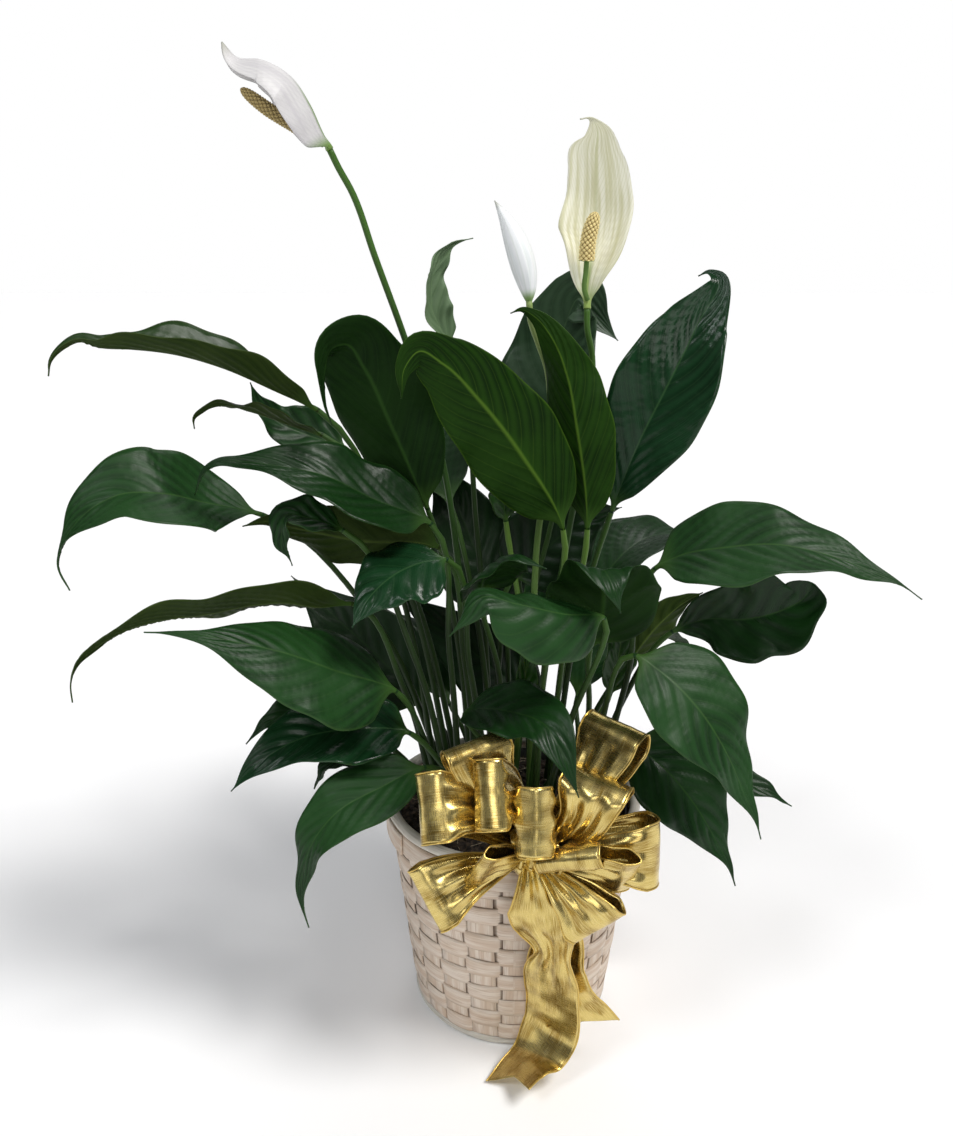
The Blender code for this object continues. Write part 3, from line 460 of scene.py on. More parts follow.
@dataclass(frozen=True)
class LeafFinish:
    """The colours of one kind of leaf, as display colours."""

    upper: Colour
    upper_light: Colour
    lower: Colour
    lower_light: Colour
    rib: Colour
    gloss: float = 0.32
    painted_crest_light: float = 0.7
    painted_rim_highlight: float = 0.35

    def face(self, name: str, side: Side) -> bpy.types.Material:
        """Makes the material of one face of the blade.

        The mesh keeps, at each point, the share s of the blade's length, the share v across it and the phase
        of the side veins, which is a whole number on each vein. Soft clouds mix the dark colour with the
        light one. The crests between the veins, the veins, the rib and the rim are then tinted in turn: the
        crests with the light colour, as painted light on the swells that leaves painted shade in the sunken
        veins, and the rim with the rib's colour, as a painted highlight along the margin.

        Args:
            name: The material's name.
            side: Which face it is.

        Returns:
            The material.
        """
        look = side.value
        lower = side is Side.LOWER
        dark, light = (self.lower, self.lower_light) if lower else (self.upper, self.upper_light)
        roughness = self.gloss + look.rougher
        shader = Shader(name, seen(*dark), roughness)
        s, v, phase = shader.surface_values()
        away = shader.math("ABSOLUTE", v)
        near_vein = shader.from_vein(phase)
        place = shader.place()
        cloud = shader.noise(place, 28.0)
        colour = shader.mix(shader.ease(cloud, 0.3, 0.72), seen(*dark), seen(*light))
        # Painted light on the crests between the veins, so the sunken veins look shaded; then the veins' and
        # the rib's own colour, then a painted highlight along the rim.
        tints = ((shader.ease(near_vein, 0.2, 0.9), self.painted_crest_light, light),
                 (shader.ease(near_vein, 0.0, 0.14, 1.0, 0.0), look.vein_weight, self.rib),
                 (shader.ease(away, 0.0, look.rib_reach, 1.0, 0.0), look.rib_weight, self.rib),
                 # A painted highlight along the margin, in the rib's colour.
                 (shader.ease(away, 0.955, 1.0), self.painted_rim_highlight, self.rib))
        for share, weight, tint in tints:
            colour = shader.mix(shader.times(share, weight), colour, seen(*tint))
        colour = shader.mix(shader.ease(s, 0.0, 0.12, 0.6, 0.0), colour, seen(*STEM_GREEN))
        shader.put("Base Color", colour)
        stripes = shader.noise(shader.stretched((phase, 9.0), (v, 2.5)), 1.6, 2.0)
        grain = shader.noise(place, 420.0, 2.0)
        shader.bump(shader.total((stripes, 0.5), (grain, 0.3)), 0.35, 0.35)
        shader.put("Roughness", shader.ease(shader.math("ADD", stripes, cloud), 0.6, 1.4,
                                            roughness - 0.07, roughness + 0.1))
        shader.put("Specular IOR Level", look.specular)
        return shader.material


class Tone(Enum):
    """The kinds of leaf on the plant, by age and by how the light falls on them: the darkest tone is painted
    shade, and the bluish tone's tint is a painted cool sheen.
    """

    DEEP = LeafFinish((11, 37, 11), (20, 52, 18), (14, 36, 10), (24, 50, 15), (46, 78, 30), 0.33)
    BRIGHT = LeafFinish((14, 43, 14), (29, 66, 26), (18, 42, 12), (31, 58, 18), (66, 100, 46), 0.42)
    FRESH = LeafFinish((15, 45, 8), (28, 62, 14), (12, 36, 4), (31, 60, 12), (82, 114, 36), 0.32)
    OLIVE = LeafFinish((20, 43, 13), (36, 62, 22), (32, 48, 16), (48, 64, 24), (78, 96, 44), 0.32)
    PALE = LeafFinish((84, 108, 76), (106, 130, 96), (84, 108, 74), (106, 130, 94), (120, 142, 104), 0.42)
    # Its bluish tint is painted: a cool sheen for glossy leaves in shade.
    BLUISH = LeafFinish((10, 38, 17), (23, 57, 31), (14, 38, 16), (26, 54, 29), (66, 100, 60), 0.22)
    GREY = LeafFinish((26, 50, 28), (52, 76, 52), (28, 50, 27), (46, 70, 42), (76, 102, 68), 0.36)
    # A darker copy of the deep tone, painted as the shade on leaves deep inside the plant.
    SHADED = LeafFinish((9, 30, 9), (16, 42, 14), (12, 31, 9), (21, 42, 14), (34, 62, 24), 0.36)


@dataclass(frozen=True)
class Leaf:
    """One leaf or spathe: its midrib from blade base to tip, and how the blade spreads from it.

    Attributes:
        name: The leaf's CAD node; the name also seeds the margin's waves.
        tone: The kind of leaf, which a spathe doesn't use.
        midrib: Points from the blade's base to its tip.
        half_width: Half the width where the blade is widest.
        face: Where the upper face looks, near the middle of the blade.
        fold: How far each half rises from flat, in degrees.
        wave: The height of the margin's waves.
        twist: The turn of the blade from its base to its tip, in degrees.
        shape: The powers a and b of blade_share.
        bow_out: How far the stem's middle is pushed along X and Y.
        lobes: Bumps of the margin: the place of each, its spread and its reach on the left and the right.
    """

    name: str
    tone: Tone
    midrib: tuple[Triple, ...]
    half_width: float
    face: Triple
    fold: float = 18.0
    wave: float = 2.6
    twist: float = 0.0
    shape: Pair = (0.8, 1.5)
    bow_out: Pair = (0.0, 0.0)
    lobes: tuple[tuple[float, float, float, float], ...] = ()


# Blade outlines: with a long drip tip, with a narrow base as well, or broad to a short point.
DRIP = (0.8, 2.0)
WAISTED = (1.6, 2.8)
BROAD = (0.8, 1.3)

LEAVES = (
    Leaf("leaf_back_arched", Tone.DEEP, ((-53, -10, 341), (-60, -14, 360), (-73, -24, 395), (-85, -38, 427),
         (-93, -48, 440), (-100, -54, 438), (-104, -57, 425), (-104, -57, 410), (-101, -56, 398)), 29,
         (0.2, 1.0, -0.2), fold=10, shape=BROAD),
    Leaf("leaf_centre_arched", Tone.FRESH, ((26, -30, 334), (1, -40, 379), (-23, -50, 411), (-41, -58, 430),
         (-54, -62, 437), (-61, -64, 429), (-63, -64, 413)), 28, (-0.2, 1.0, 0.1), fold=8, shape=BROAD),
    Leaf("leaf_centre_erect", Tone.FRESH, ((41, -22, 332), (33, -20, 393), (28, -16, 418), (19, -12, 440),
         (9, -10, 452), (1, -10, 456), (-5, -10, 454)), 21, (0.3, 1.0, 0.2), fold=22, shape=BROAD),
    Leaf("leaf_back_folded", Tone.GREY, ((26, 25, 353), (22, 34, 385), (24, 42, 417), (31, 46, 445),
         (39, 45, 461), (51, 42, 448), (63, 38, 436)), 34, (-0.5, -0.9, 0.3), fold=14, shape=BROAD),
    Leaf("leaf_right_upright", Tone.BLUISH, ((57, -5, 338), (71, -12, 383), (85, -12, 414), (101, -6, 447),
         (112, 4, 474), (108, 7, 476), (103, 8, 474)), 30, (-0.3, -1.0, 0.3), fold=16, shape=(1.15, 1.4)),
    Leaf("leaf_back_slim", Tone.PALE, ((-40, 40, 433), (-51, 39, 455), (-49, 42, 479), (-40, 45, 492),
         (-26, 48, 496)), 12, (0.7, -0.7, 0.2), fold=30, shape=(0.6, 1.6)),
    Leaf("leaf_left_keeled", Tone.OLIVE, ((-116, -5, 399), (-140, -15, 413), (-165, -25, 426),
         (-189, -34, 434), (-209, -41, 437), (-224, -44, 438), (-234, -46, 441), (-243, -47, 437),
         (-250, -48, 430), (-252, -48, 423)), 19, (0.0, -0.1, 1.0), fold=42, twist=-25, shape=BROAD,
         lobes=((0.53, 0.1, 0, 5), (0.78, 0.08, -2, -4))),
    Leaf("leaf_left_thin", Tone.OLIVE, ((-116, 5, 383), (-134, 2, 390), (-156, 0, 398), (-173, -2, 402),
         (-183, -3, 399), (-190, -3, 393), (-190, -3, 388)), 13, (0.0, 0.3, 1.0), fold=12),
    Leaf("leaf_left_behind", Tone.BRIGHT, ((-106, 29, 371), (-129, 30, 379), (-149, 28, 389),
         (-158, 26, 400), (-162, 26, 412)), 17, (0.1, -0.8, 0.6)),
    Leaf("leaf_left_dark", Tone.DEEP, ((-50, -30, 337), (-82, -42, 355), (-108, -50, 370), (-132, -55, 376),
         (-151, -58, 379), (-161, -60, 379), (-170, -60, 374), (-176, -60, 361)), 24, (0.1, -0.6, 0.8),
         fold=12, shape=DRIP, bow_out=(0, -8)),
    Leaf("leaf_left_large", Tone.BRIGHT, ((-149, -20, 340), (-178, -38, 352), (-195, -60, 362),
         (-213, -67, 363), (-225, -71, 358), (-236, -74, 349), (-245, -75, 336), (-248, -75, 326),
         (-243, -76, 312)), 31, (0.0, -0.6, 0.8), fold=14, shape=WAISTED),
    Leaf("leaf_left_under", Tone.OLIVE, ((-46, -16, 319), (-93, -27, 327), (-125, -32, 335),
         (-146, -38, 341), (-157, -38, 338)), 27, (0.0, 0.85, 0.5), fold=9),
    Leaf("leaf_left_small", Tone.BRIGHT, ((-99, -44, 337), (-116, -48, 345), (-130, -50, 347),
         (-132, -52, 336), (-127, -53, 319)), 12, (-0.1, -0.5, 0.8), bow_out=(0, 4)),
    Leaf("leaf_left_long", Tone.OLIVE, ((-98, -25, 287), (-117, -35, 289), (-135, -42, 294),
         (-153, -50, 295), (-176, -60, 293), (-196, -68, 293), (-213, -74, 290), (-230, -79, 282),
         (-241, -82, 273), (-246, -83, 261), (-246, -84, 250)), 24, (0.0, 0.6, 0.8), fold=12, shape=DRIP),
    Leaf("leaf_left_broad", Tone.BRIGHT, ((-71, -50, 241), (-103, -68, 262), (-130, -82, 279),
         (-155, -91, 289), (-174, -96, 295), (-197, -99, 297)), 34, (0.1, -0.54, 0.84), fold=-14,
         shape=DRIP),
    Leaf("leaf_left_shaded", Tone.BLUISH, ((-64, -40, 209), (-94, -54, 219), (-127, -68, 219),
         (-150, -80, 208), (-163, -84, 195)), 25, (-0.1, -0.7, 0.7), bow_out=(0, -8)),
    Leaf("leaf_left_peeking", Tone.DEEP, ((-107, -26, 214), (-135, -38, 222), (-149, -46, 219),
         (-161, -52, 208)), 11, (0.0, -0.5, 0.85), bow_out=(0, -10)),
    Leaf("leaf_left_lowest", Tone.DEEP, ((-85, -40, 191), (-103, -46, 196), (-116, -50, 190),
         (-122, -52, 178)), 10, (0.0, -0.3, 0.95), bow_out=(0, -10)),
    Leaf("leaf_left_hanging", Tone.BRIGHT, ((-54, -62, 198), (-79, -76, 193), (-103, -86, 183),
         (-118, -90, 164), (-124, -92, 144), (-125, -92, 126), (-122, -92, 110)), 20, (-0.45, -0.75, 0.45),
         fold=8, wave=3.0, shape=DRIP),
    Leaf("leaf_front_shiny", Tone.BLUISH, ((-41, -41, 319), (-67, -58, 317), (-82, -72, 307),
         (-91, -82, 293)), 25, (0.1, -0.45, 0.9), fold=-8, bow_out=(-4, 0)),
    Leaf("leaf_front_folded", Tone.BRIGHT, ((46, -70, 294), (22, -88, 303), (-3, -98, 312),
         (-22, -103, 317), (-30, -106, 308), (-38, -108, 298)), 28, (0.0, -0.5, 0.85), fold=-32,
         bow_out=(4, -18)),
    Leaf("leaf_front_behind", Tone.DEEP, ((-22, -20, 293), (-16, -42, 315), (-3, -58, 327), (14, -68, 322)),
         22, (0.1, -0.2, 1.0), fold=-25, bow_out=(6, 4)),
    Leaf("leaf_right_arched", Tone.DEEP, ((42, -48, 268), (47, -55, 291), (46, -65, 312), (44, -77, 324),
         (48, -88, 317), (52, -90, 304)), 33, (0.1, 1.0, 0.1), fold=8, bow_out=(12, 2)),
    Leaf("leaf_over_bow", Tone.DEEP, ((-31, -50, 226), (-3, -80, 242), (14, -101, 243), (23, -112, 229),
         (30, -118, 211)), 21, (0.25, -0.7, 0.65), fold=10, bow_out=(2, -9)),
    Leaf("leaf_right_long", Tone.BRIGHT, ((80, -30, 310), (93, -36, 320), (116, -47, 328), (141, -55, 332),
         (167, -60, 328), (195, -64, 318), (211, -66, 311), (221, -67, 304)), 31, (0.0, -0.56, 0.83),
         fold=8, shape=DRIP, bow_out=(6, -8)),
    Leaf("leaf_right_wavy", Tone.DEEP, ((97, -10, 263), (115, -17, 274), (137, -25, 277), (157, -31, 285),
         (168, -33, 293), (172, -34, 303)), 28, (0.1, -0.95, 0.3), wave=4.0, shape=(1.2, 0.8),
         lobes=((0.97, 0.05, 4, 3), (0.86, 0.05, -3.5, -3), (0.72, 0.06, 2.5, 0), (0.6, 0.05, -1.5, -2))),
    Leaf("leaf_right_drooping", Tone.BRIGHT, ((64, -70, 272), (79, -80, 265), (98, -89, 247),
         (114, -94, 222), (124, -96, 200), (132, -97, 183), (135, -98, 173)), 30, (0.4, -0.8, 0.5), fold=6,
         shape=DRIP, bow_out=(0, -8)),
    Leaf("leaf_right_low", Tone.DEEP, ((66, -50, 208), (84, -60, 199), (102, -68, 180), (117, -73, 156),
         (125, -75, 141), (130, -76, 127)), 28, (0.3, -0.85, 0.45), fold=10, shape=DRIP, bow_out=(4, -6)),
    Leaf("leaf_right_peeking", Tone.DEEP, ((110, 0, 168), (143, -5, 158), (168, -8, 150), (183, -10, 141)),
         13, (0.1, -0.6, 0.8)),
    Leaf("leaf_right_inner", Tone.FRESH, ((60, -12, 222), (64, -12, 245), (66, -10, 268), (64, -6, 285)),
         11, (0.2, -1.0, 0.2)),
    Leaf("leaf_right_olive", Tone.OLIVE, ((76, 15, 234), (95, 18, 259), (114, 20, 275), (122, 20, 279)), 16,
         (0.2, 0.9, 0.4)),
    Leaf("leaf_inner_young", Tone.FRESH, ((-6, 5, 330), (-9, 0, 355), (-14, -5, 375), (-17, -8, 388)), 12,
         (0.5, -0.9, 0.1), bow_out=(8, -12)),
    Leaf("leaf_inner_rolled", Tone.FRESH, ((2, -46, 220), (4, -48, 242), (5, -50, 264), (4, -50, 284)), 9,
         (0.1, -1.0, 0.2), fold=40),
    Leaf("leaf_rear_left", Tone.DEEP, ((-40, 40, 330), (-70, 105, 368), (-90, 165, 350), (-100, 205, 310)),
         31, (-0.2, 0.3, 0.9)),
    Leaf("leaf_rear_middle", Tone.DEEP, ((0, 60, 320), (5, 125, 356), (8, 185, 345), (10, 228, 305)), 32,
         (0.0, 0.3, 0.9)),
    Leaf("leaf_rear_right", Tone.DEEP, ((45, 42, 250), (92, 90, 294), (136, 128, 286), (163, 150, 258)), 30,
         (0.2, 0.1, 1.0)),
    Leaf("leaf_rear_left_low", Tone.DEEP, ((-42, 40, 190), (-88, 86, 222), (-126, 120, 208),
         (-150, 140, 178)), 28, (-0.2, 0.2, 0.9)),
    Leaf("leaf_rear_right_low", Tone.DEEP, ((45, 38, 196), (88, 80, 222), (126, 112, 210), (148, 130, 182)),
         27, (0.2, 0.2, 0.9), bow_out=(12, -8)),
    Leaf("leaf_rear_low", Tone.DEEP, ((8, 52, 230), (12, 108, 264), (14, 160, 254), (14, 198, 220)), 30,
         (0.0, 0.2, 1.0), bow_out=(4, 0)),
    # Leaves deep inside the plant, in the tone painted as shade.
    Leaf("leaf_inner_tall", Tone.SHADED, ((-5, 49, 251), (-25, 61, 296), (-44, 74, 336), (-60, 85, 355)), 32,
         (0.2, -1.0, 0.25), fold=8),
    Leaf("leaf_inner_right", Tone.SHADED, ((-1, 37, 282), (24, 37, 306), (48, 37, 325), (70, 38, 331)), 32,
         (-0.47, -1.0, 0.0)),
    Leaf("leaf_inner_left", Tone.SHADED, ((-60, 29, 194), (-90, 33, 229), (-121, 36, 259), (-147, 40, 284)),
         33, (0.15, -1.0, 0.2), fold=12),
    Leaf("leaf_inner_low", Tone.SHADED, ((18, 68, 175), (-16, 60, 212), (-50, 53, 245), (-80, 46, 270)), 27,
         (0.2, -1.0, 0.35), fold=12),
)


@dataclass(frozen=True)
class Stance:
    """How the stems leave the soil, shared with the solids."""

    foot_height: float = 118.0
    collar_height: float = 142.0
    leaf_lean: Triple = (0.40, 0.40, 0.60)
    scape_lean: Triple = (0.42, 0.42, 0.55)
    level_reach: float = 0.05

    def foot(self, node: bpy.types.Object) -> np.ndarray:
        """Finds the middle of a stem's lowest ring, from the CAD node's own points."""
        places = np.empty(len(node.data.vertices) * 3, np.float32)
        node.data.vertices.foreach_get("co", places)
        places = places.reshape(-1, 3) / MM
        ring = places[np.abs(places[:, 2] - self.foot_height) < self.level_reach]
        return (ring.min(0) + ring.max(0)) / 2

    def collar(self, node: bpy.types.Object) -> np.ndarray:
        """Returns the point where a stem leaves its hole in the soil."""
        foot = self.foot(node)
        return np.array([foot[0], foot[1], self.collar_height])


@dataclass(frozen=True)
class Blade:
    """The build of a leaf: its sheet, its rib, its side veins and its stem.

    A sine is its height and its waves along the blade. The stem's swelling is its share of the radius, its
    place along the stem and its spread there.
    """

    thickness: float = 0.6
    margin_thinning: float = 0.45
    tip_half_width: float = 0.35
    width_change: float = 0.04
    width_sines: tuple[Pair, Pair] = ((0.6, 1.7), (0.4, 4.3))
    lift_sines: tuple[Pair, Pair] = ((0.75, 2.3), (0.45, 4.6))
    fold_power: float = 1.5
    rib_height: float = 1.0
    rib_half_width: float = 1.3
    rib_taper: float = 0.8
    groove_depth: float = 0.35
    vein_pitch: float = 13.5
    fewest_veins: int = 6
    vein_lean: float = 0.3
    lean_power: float = 1.15
    vein_sway: float = 0.12
    vein_depth: float = 1.3
    swell_power: float = 0.7
    swell_mean: float = 0.6
    rows_a_vein: int = 9
    columns: int = 12
    given_normal_at: float = 0.486
    stem_radius: float = 2.2
    stem_taper: float = 0.3
    stem_swelling: Triple = (0.14, 0.94, 0.04)
    stem_rows: int = 18
    stem_to_blade: float = 0.1

    def across(self) -> np.ndarray:
        """Returns the places v across the blade, -1 to 1, closer together near the rib: v = t |t|^0.4."""
        t = np.linspace(-1, 1, 2 * self.columns + 1)
        return np.sign(t) * np.abs(t) ** 1.4

    def margins(self, leaf: Leaf, s: np.ndarray) -> tuple[np.ndarray, np.ndarray]:
        """Returns the half width and the margin's lift on the two sides of the rib at each place s.

        The half width is the blade's share of s, changed by a few hundredths in two seeded sines, plus the
        leaf's lobes, each a bell curve round its place. The lift is two seeded sines as well.

        Args:
            leaf: The leaf's own sizes.
            s: Shares of the blade's length.

        Returns:
            Two arrays of a row for each place and a column for each side.
        """
        chance = np.random.default_rng(sum(leaf.name.encode()))
        starts = chance.uniform(0, 2 * math.pi, (4, 1, 2))
        turn = 2 * math.pi * s[:, None]
        change, lift = (sum(height * np.sin(waves * turn + start)
                            for (height, waves), start in zip(sines, own_starts))
                        for sines, own_starts in ((self.width_sines, starts[:2]),
                                                  (self.lift_sines, starts[2:])))
        half = leaf.half_width * blade_share(s, leaf.shape)[:, None] * (1 + self.width_change * change)
        for place, spread, left, right in leaf.lobes:
            half = half + np.exp(-((s[:, None] - place) / spread) ** 2) * np.array([left, right])
        return np.maximum(half, self.tip_half_width), leaf.wave * lift

    def sections(self, centres: np.ndarray, tangents: np.ndarray, normals: np.ndarray, s: np.ndarray,
                 leaf: Leaf, veins: int, radius: np.ndarray | float) -> tuple[np.ndarray, np.ndarray]:
        """Makes one ring of points for each place s along a blade.

        A point of the sheet lies v half widths to the side. It is lifted by the fold, which goes with
        |v|^1.5, by the margin's wave times v^2, and by swells |sin(pi phase)|^0.7 between the side veins.
        The phase is the vein count times s less a lean that grows with |v|^1.15, so that veins sweep
        towards the tip. The upper face has a groove and the lower face a rib, both bell curves of the
        distance from the middle. Near s = 0 the section blends from the stem's circle.

        Args:
            centres: Points of the midrib.
            tangents: Unit tangents there.
            normals: Unit normals out of the upper face.
            s: Shares of the blade's length, 0 on the stem.
            leaf: The leaf's own sizes.
            veins: How many side veins run off each side of the rib.
            radius: The stem's radius at each row.

        Returns:
            The rings and the values kept at their points.
        """
        v = self.across()
        count = len(v)
        sides = np.cross(tangents, normals)
        half, lift = self.margins(leaf, s)
        side = (v > 0).astype(int)
        width = half[:, side]
        fold = math.radians(leaf.fold)
        ripple = lift[:, side] * v ** 2
        lean = self.vein_lean * np.abs(v) ** self.lean_power
        phase = veins * (s[:, None] - lean) + self.vein_sway * np.sin(7 * s[:, None] + 2 * np.sign(v))
        fade = (eased(np.abs(v), 0.02, 0.16) * (1 - eased(np.abs(v), 0.8, 1.0))
                * (eased(s, 0.04, 0.16) * (1 - eased(s, 0.8, 0.98)))[:, None])
        swell = np.abs(np.sin(math.pi * phase)) ** self.swell_power - self.swell_mean
        across = width * v * math.cos(fold)
        lift = (width * np.abs(v) ** self.fold_power * math.sin(fold)
                + ripple * blade_share(s, (1.0, 1.0))[:, None] + self.vein_depth * swell * fade)
        rib = np.exp(-(across / self.rib_half_width) ** 2) * (1 - self.rib_taper * s)[:, None]
        skin = self.thickness / 2 * (1 - self.margin_thinning * v ** 4)
        upper = np.stack([across, lift + skin - self.groove_depth * rib], 2)
        lower = np.stack([across, lift - skin - self.rib_height * rib], 2)[:, ::-1]
        flat = np.concatenate([upper, lower], 1)
        angle = math.pi - (np.arange(2 * count) + 0.5) * math.pi / count
        circle = np.stack([np.cos(angle), np.sin(angle)], 1)[None] * np.reshape(radius, (-1, 1, 1))
        blend = eased(s, 0.0, self.stem_to_blade)[:, None, None]
        section = flat * blend + circle * (1 - blend)
        rings = centres[:, None] + section[..., :1] * sides[:, None] + section[..., 1:] * normals[:, None]
        return rings, stacked(s[:, None], two_faced(v[None]), two_faced(phase))

    def face_marks(self, rows: int) -> np.ndarray:
        """Numbers the faces: 0 on the upper face and margins, 1 on the lower face, 2 on the stem."""
        count = 2 * self.columns + 1
        marks = np.zeros((rows - 1, 2 * count), int)
        marks[:, count:2 * count - 1] = 1
        marks[:self.stem_rows] = 2
        return marks

    def leaf_patch(self, leaf: Leaf, collar: np.ndarray, stance: Stance) -> Patch:
        """Makes a whole leaf: a straight foot in the soil, a bent stem and the blade.

        Args:
            leaf: The leaf's own sizes.
            collar: Where the stem leaves the soil.
            stance: How stems lean.

        Returns:
            The closed surface, with finish numbers 0 to 2.
        """
        base = np.array(leaf.midrib[0], float)
        middle = collar + (base - collar) * np.array(stance.leaf_lean) + np.array([*leaf.bow_out, 0])
        whole = smooth_path([collar, middle, *leaf.midrib])
        end = int(np.argmin(np.linalg.norm(whole - base, axis=1)))
        rows = self.stem_rows
        climb = np.linspace(0, 1, rows)
        veins = max(self.fewest_veins, round(run_length(whole[end:]) / self.vein_pitch))
        s = np.linspace(0, 1, self.rows_a_vein * veins + 1)[1:]
        centres = np.vstack([along(whole[:end + 1], climb), along(whole[end:], s)])
        share = np.concatenate([np.zeros(rows), s])
        tangents = tangents_of(centres)
        tangents[0] = (0, 0, 1)
        start = rows + int(np.argmin(np.abs(s - self.given_normal_at)))
        normals = carried_normals(tangents, start, np.array(leaf.face))
        normals = turned_about(normals, tangents, leaf.twist * (share - 0.5) * (share > 0))
        whole_climb = np.concatenate([climb, np.ones(len(s))])
        extra, place, spread = self.stem_swelling
        radius = self.stem_radius * (1 - self.stem_taper * whole_climb
                                     + extra * np.exp(-((whole_climb - place) / spread) ** 2))
        rings, values = self.sections(centres, tangents, normals, share, leaf, veins, radius)
        values[:rows, :, 0] = climb[:, None]
        sunk = rings[:1].copy()
        sunk[..., 2] = stance.foot_height
        rings = np.concatenate([sunk, rings])
        values = np.concatenate([values[:1], values])
        return grid_patch(rings, values, self.face_marks(len(rings)))


@dataclass(frozen=True)
class StemFinish:
    """A stem's colours from the soil to its top, as display colours. The low colour is darker, painted as
    the shade deep inside the plant.
    """

    low: Colour
    high: Colour
    roughness: float = 0.42
    streak_share: float = 0.72

    def make(self, name: str) -> bpy.types.Material:
        """Makes the material: fine lengthwise streaks over a slow change of colour, darker towards the soil
        as painted shade.
        """
        shader = Shader(name, seen(*self.high), self.roughness)
        climb, turn, _ = shader.surface_values()
        place = shader.place()
        streak = shader.noise(shader.stretched((climb, 3.0), (turn, 22.0)), 1.0)
        # Painted shade: the stem darkens towards the soil, where it stands deep inside the plant.
        colour = shader.mix(shader.ease(climb, 0.55, 1.0), seen(*self.low), seen(*self.high))
        colour = shader.mix(shader.ease(streak, 0.35, 0.7, 0.0, 0.5), colour,
                            seen(*dimmed(self.high, self.streak_share)))
        shader.put("Base Color", colour)
        shader.bump(shader.noise(place, 500.0), 0.2, 0.15)
        shader.put("Specular IOR Level", 0.22)
        return shader.material


class Foliage:
    """All the leaves, each with its stem as one piece."""

    def __init__(self, frame: dict, stance: Stance, blade: Blade) -> None:
        """Keeps the frame's nodes and the shared sizes."""
        self.nodes = frame["nodes"]
        self.stance = stance
        self.blade = blade

    def build(self) -> None:
        """Builds every leaf in place of its CAD node."""
        old = StemFinish((30, 49, 20), (58, 90, 36)).make("leaf_stem")
        young = StemFinish((38, 64, 24), (98, 132, 56)).make("leaf_stem_young")
        faces = {}
        for tone in Tone:
            sides = [tone.value.face(f"leaf_{tone.name.lower()}_{side.name.lower()}", side) for side in Side]
            faces[tone] = [*sides, young if tone is Tone.FRESH else old]
        for leaf in LEAVES:
            patch = self.blade.leaf_patch(leaf, self.stance.collar(self.nodes[leaf.name]), self.stance)
            build_piece(f"{leaf.name}_veined", patch, faces[leaf.tone], (leaf.name,))


@dataclass(frozen=True)
class SpatheFinish:
    """A spathe's colours, as display colours, and how far up its rib the green reaches."""

    petal: Colour
    shade: Colour
    vein: Colour
    green: Colour
    green_reach: float = 0.5
    tip: Colour = (146, 148, 128)

    def make(self, name: str) -> bpy.types.Material:
        """Makes the material: thin veins, a soft cloud of shade, and green along the rib near the stem."""
        shader = Shader(name, seen(*self.petal), 0.46)
        s, v, phase = shader.surface_values()
        away = shader.math("ABSOLUTE", v)
        near_vein = shader.from_vein(phase)
        place = shader.place()
        streaks = shader.noise(shader.stretched((s, 2.2), (v, 8.0)), 1.0, 3.0)
        colour = shader.mix(shader.ease(streaks, 0.36, 0.66), seen(*self.petal), seen(*self.shade))
        vein = shader.ease(near_vein, 0.0, 0.4, 1.0, 0.0)
        rib = shader.ease(away, 0.0, 0.1, 1.0, 0.0)
        for share, weight in ((vein, 0.38), (rib, 0.55)):
            colour = shader.mix(shader.times(share, weight), colour, seen(*self.vein))
        streak = shader.times(shader.ease(away, 0.03, 0.2, 1.0, 0.0),
                              shader.ease(s, self.green_reach / 2, self.green_reach, 0.9, 0.0))
        colour = shader.mix(shader.ease(s, 0.88, 1.0, 0.0, 0.75), colour, seen(*self.tip))
        foot = shader.ease(s, 0.02, 0.14, 1.0, 0.0)
        colour = shader.mix(shader.math("MAXIMUM", streak, foot), colour, seen(*self.green))
        shader.put("Base Color", colour)
        height = shader.math("ADD", shader.times(near_vein, 0.6), shader.noise(place, 260.0))
        shader.bump(height, 0.12, 0.2)
        shader.put("Sheen Weight", 0.15)
        return shader.material


@dataclass(frozen=True)
class SpadixFinish:
    """A spadix's colours, as display colours."""

    knob: Colour
    pit: Colour
    stalk: Colour
    dusk_share: float = 0.8

    def make(self, name: str) -> bpy.types.Material:
        """Makes the material: pale knobs, darker between them, with a green stalk."""
        shader = Shader(name, seen(*self.knob), 0.62)
        rod, _, height = shader.surface_values()
        grain = shader.noise(shader.place(), 900.0)
        colour = shader.mix(shader.ease(height, 0.15, 0.6), seen(*self.pit), seen(*self.knob))
        colour = shader.mix(shader.ease(grain, 0.45, 0.75, 0.0, 0.6), colour,
                            seen(*dimmed(self.knob, self.dusk_share)))
        colour = shader.mix(shader.ease(rod, 0.0, 0.02), seen(*self.stalk), colour)
        shader.put("Base Color", colour)
        shader.bump(grain, 0.4, 0.2)
        return shader.material


@dataclass(frozen=True)
class Spadix:
    """A spadix: its path after its seat on the spathe, its radius, colours and bare stalk's share."""

    path: tuple[Triple, ...]
    radius: float
    finish: SpadixFinish
    stalk_end: float = 0.3


@dataclass(frozen=True)
class Bloom:
    """A flower: its stem, its spathe as a blade, and its spadix, which a closed spathe hides."""

    name: str
    scape: tuple[Triple, ...]
    stem: StemFinish
    spathe: Leaf
    petal: SpatheFinish
    spadix: Spadix | None = None


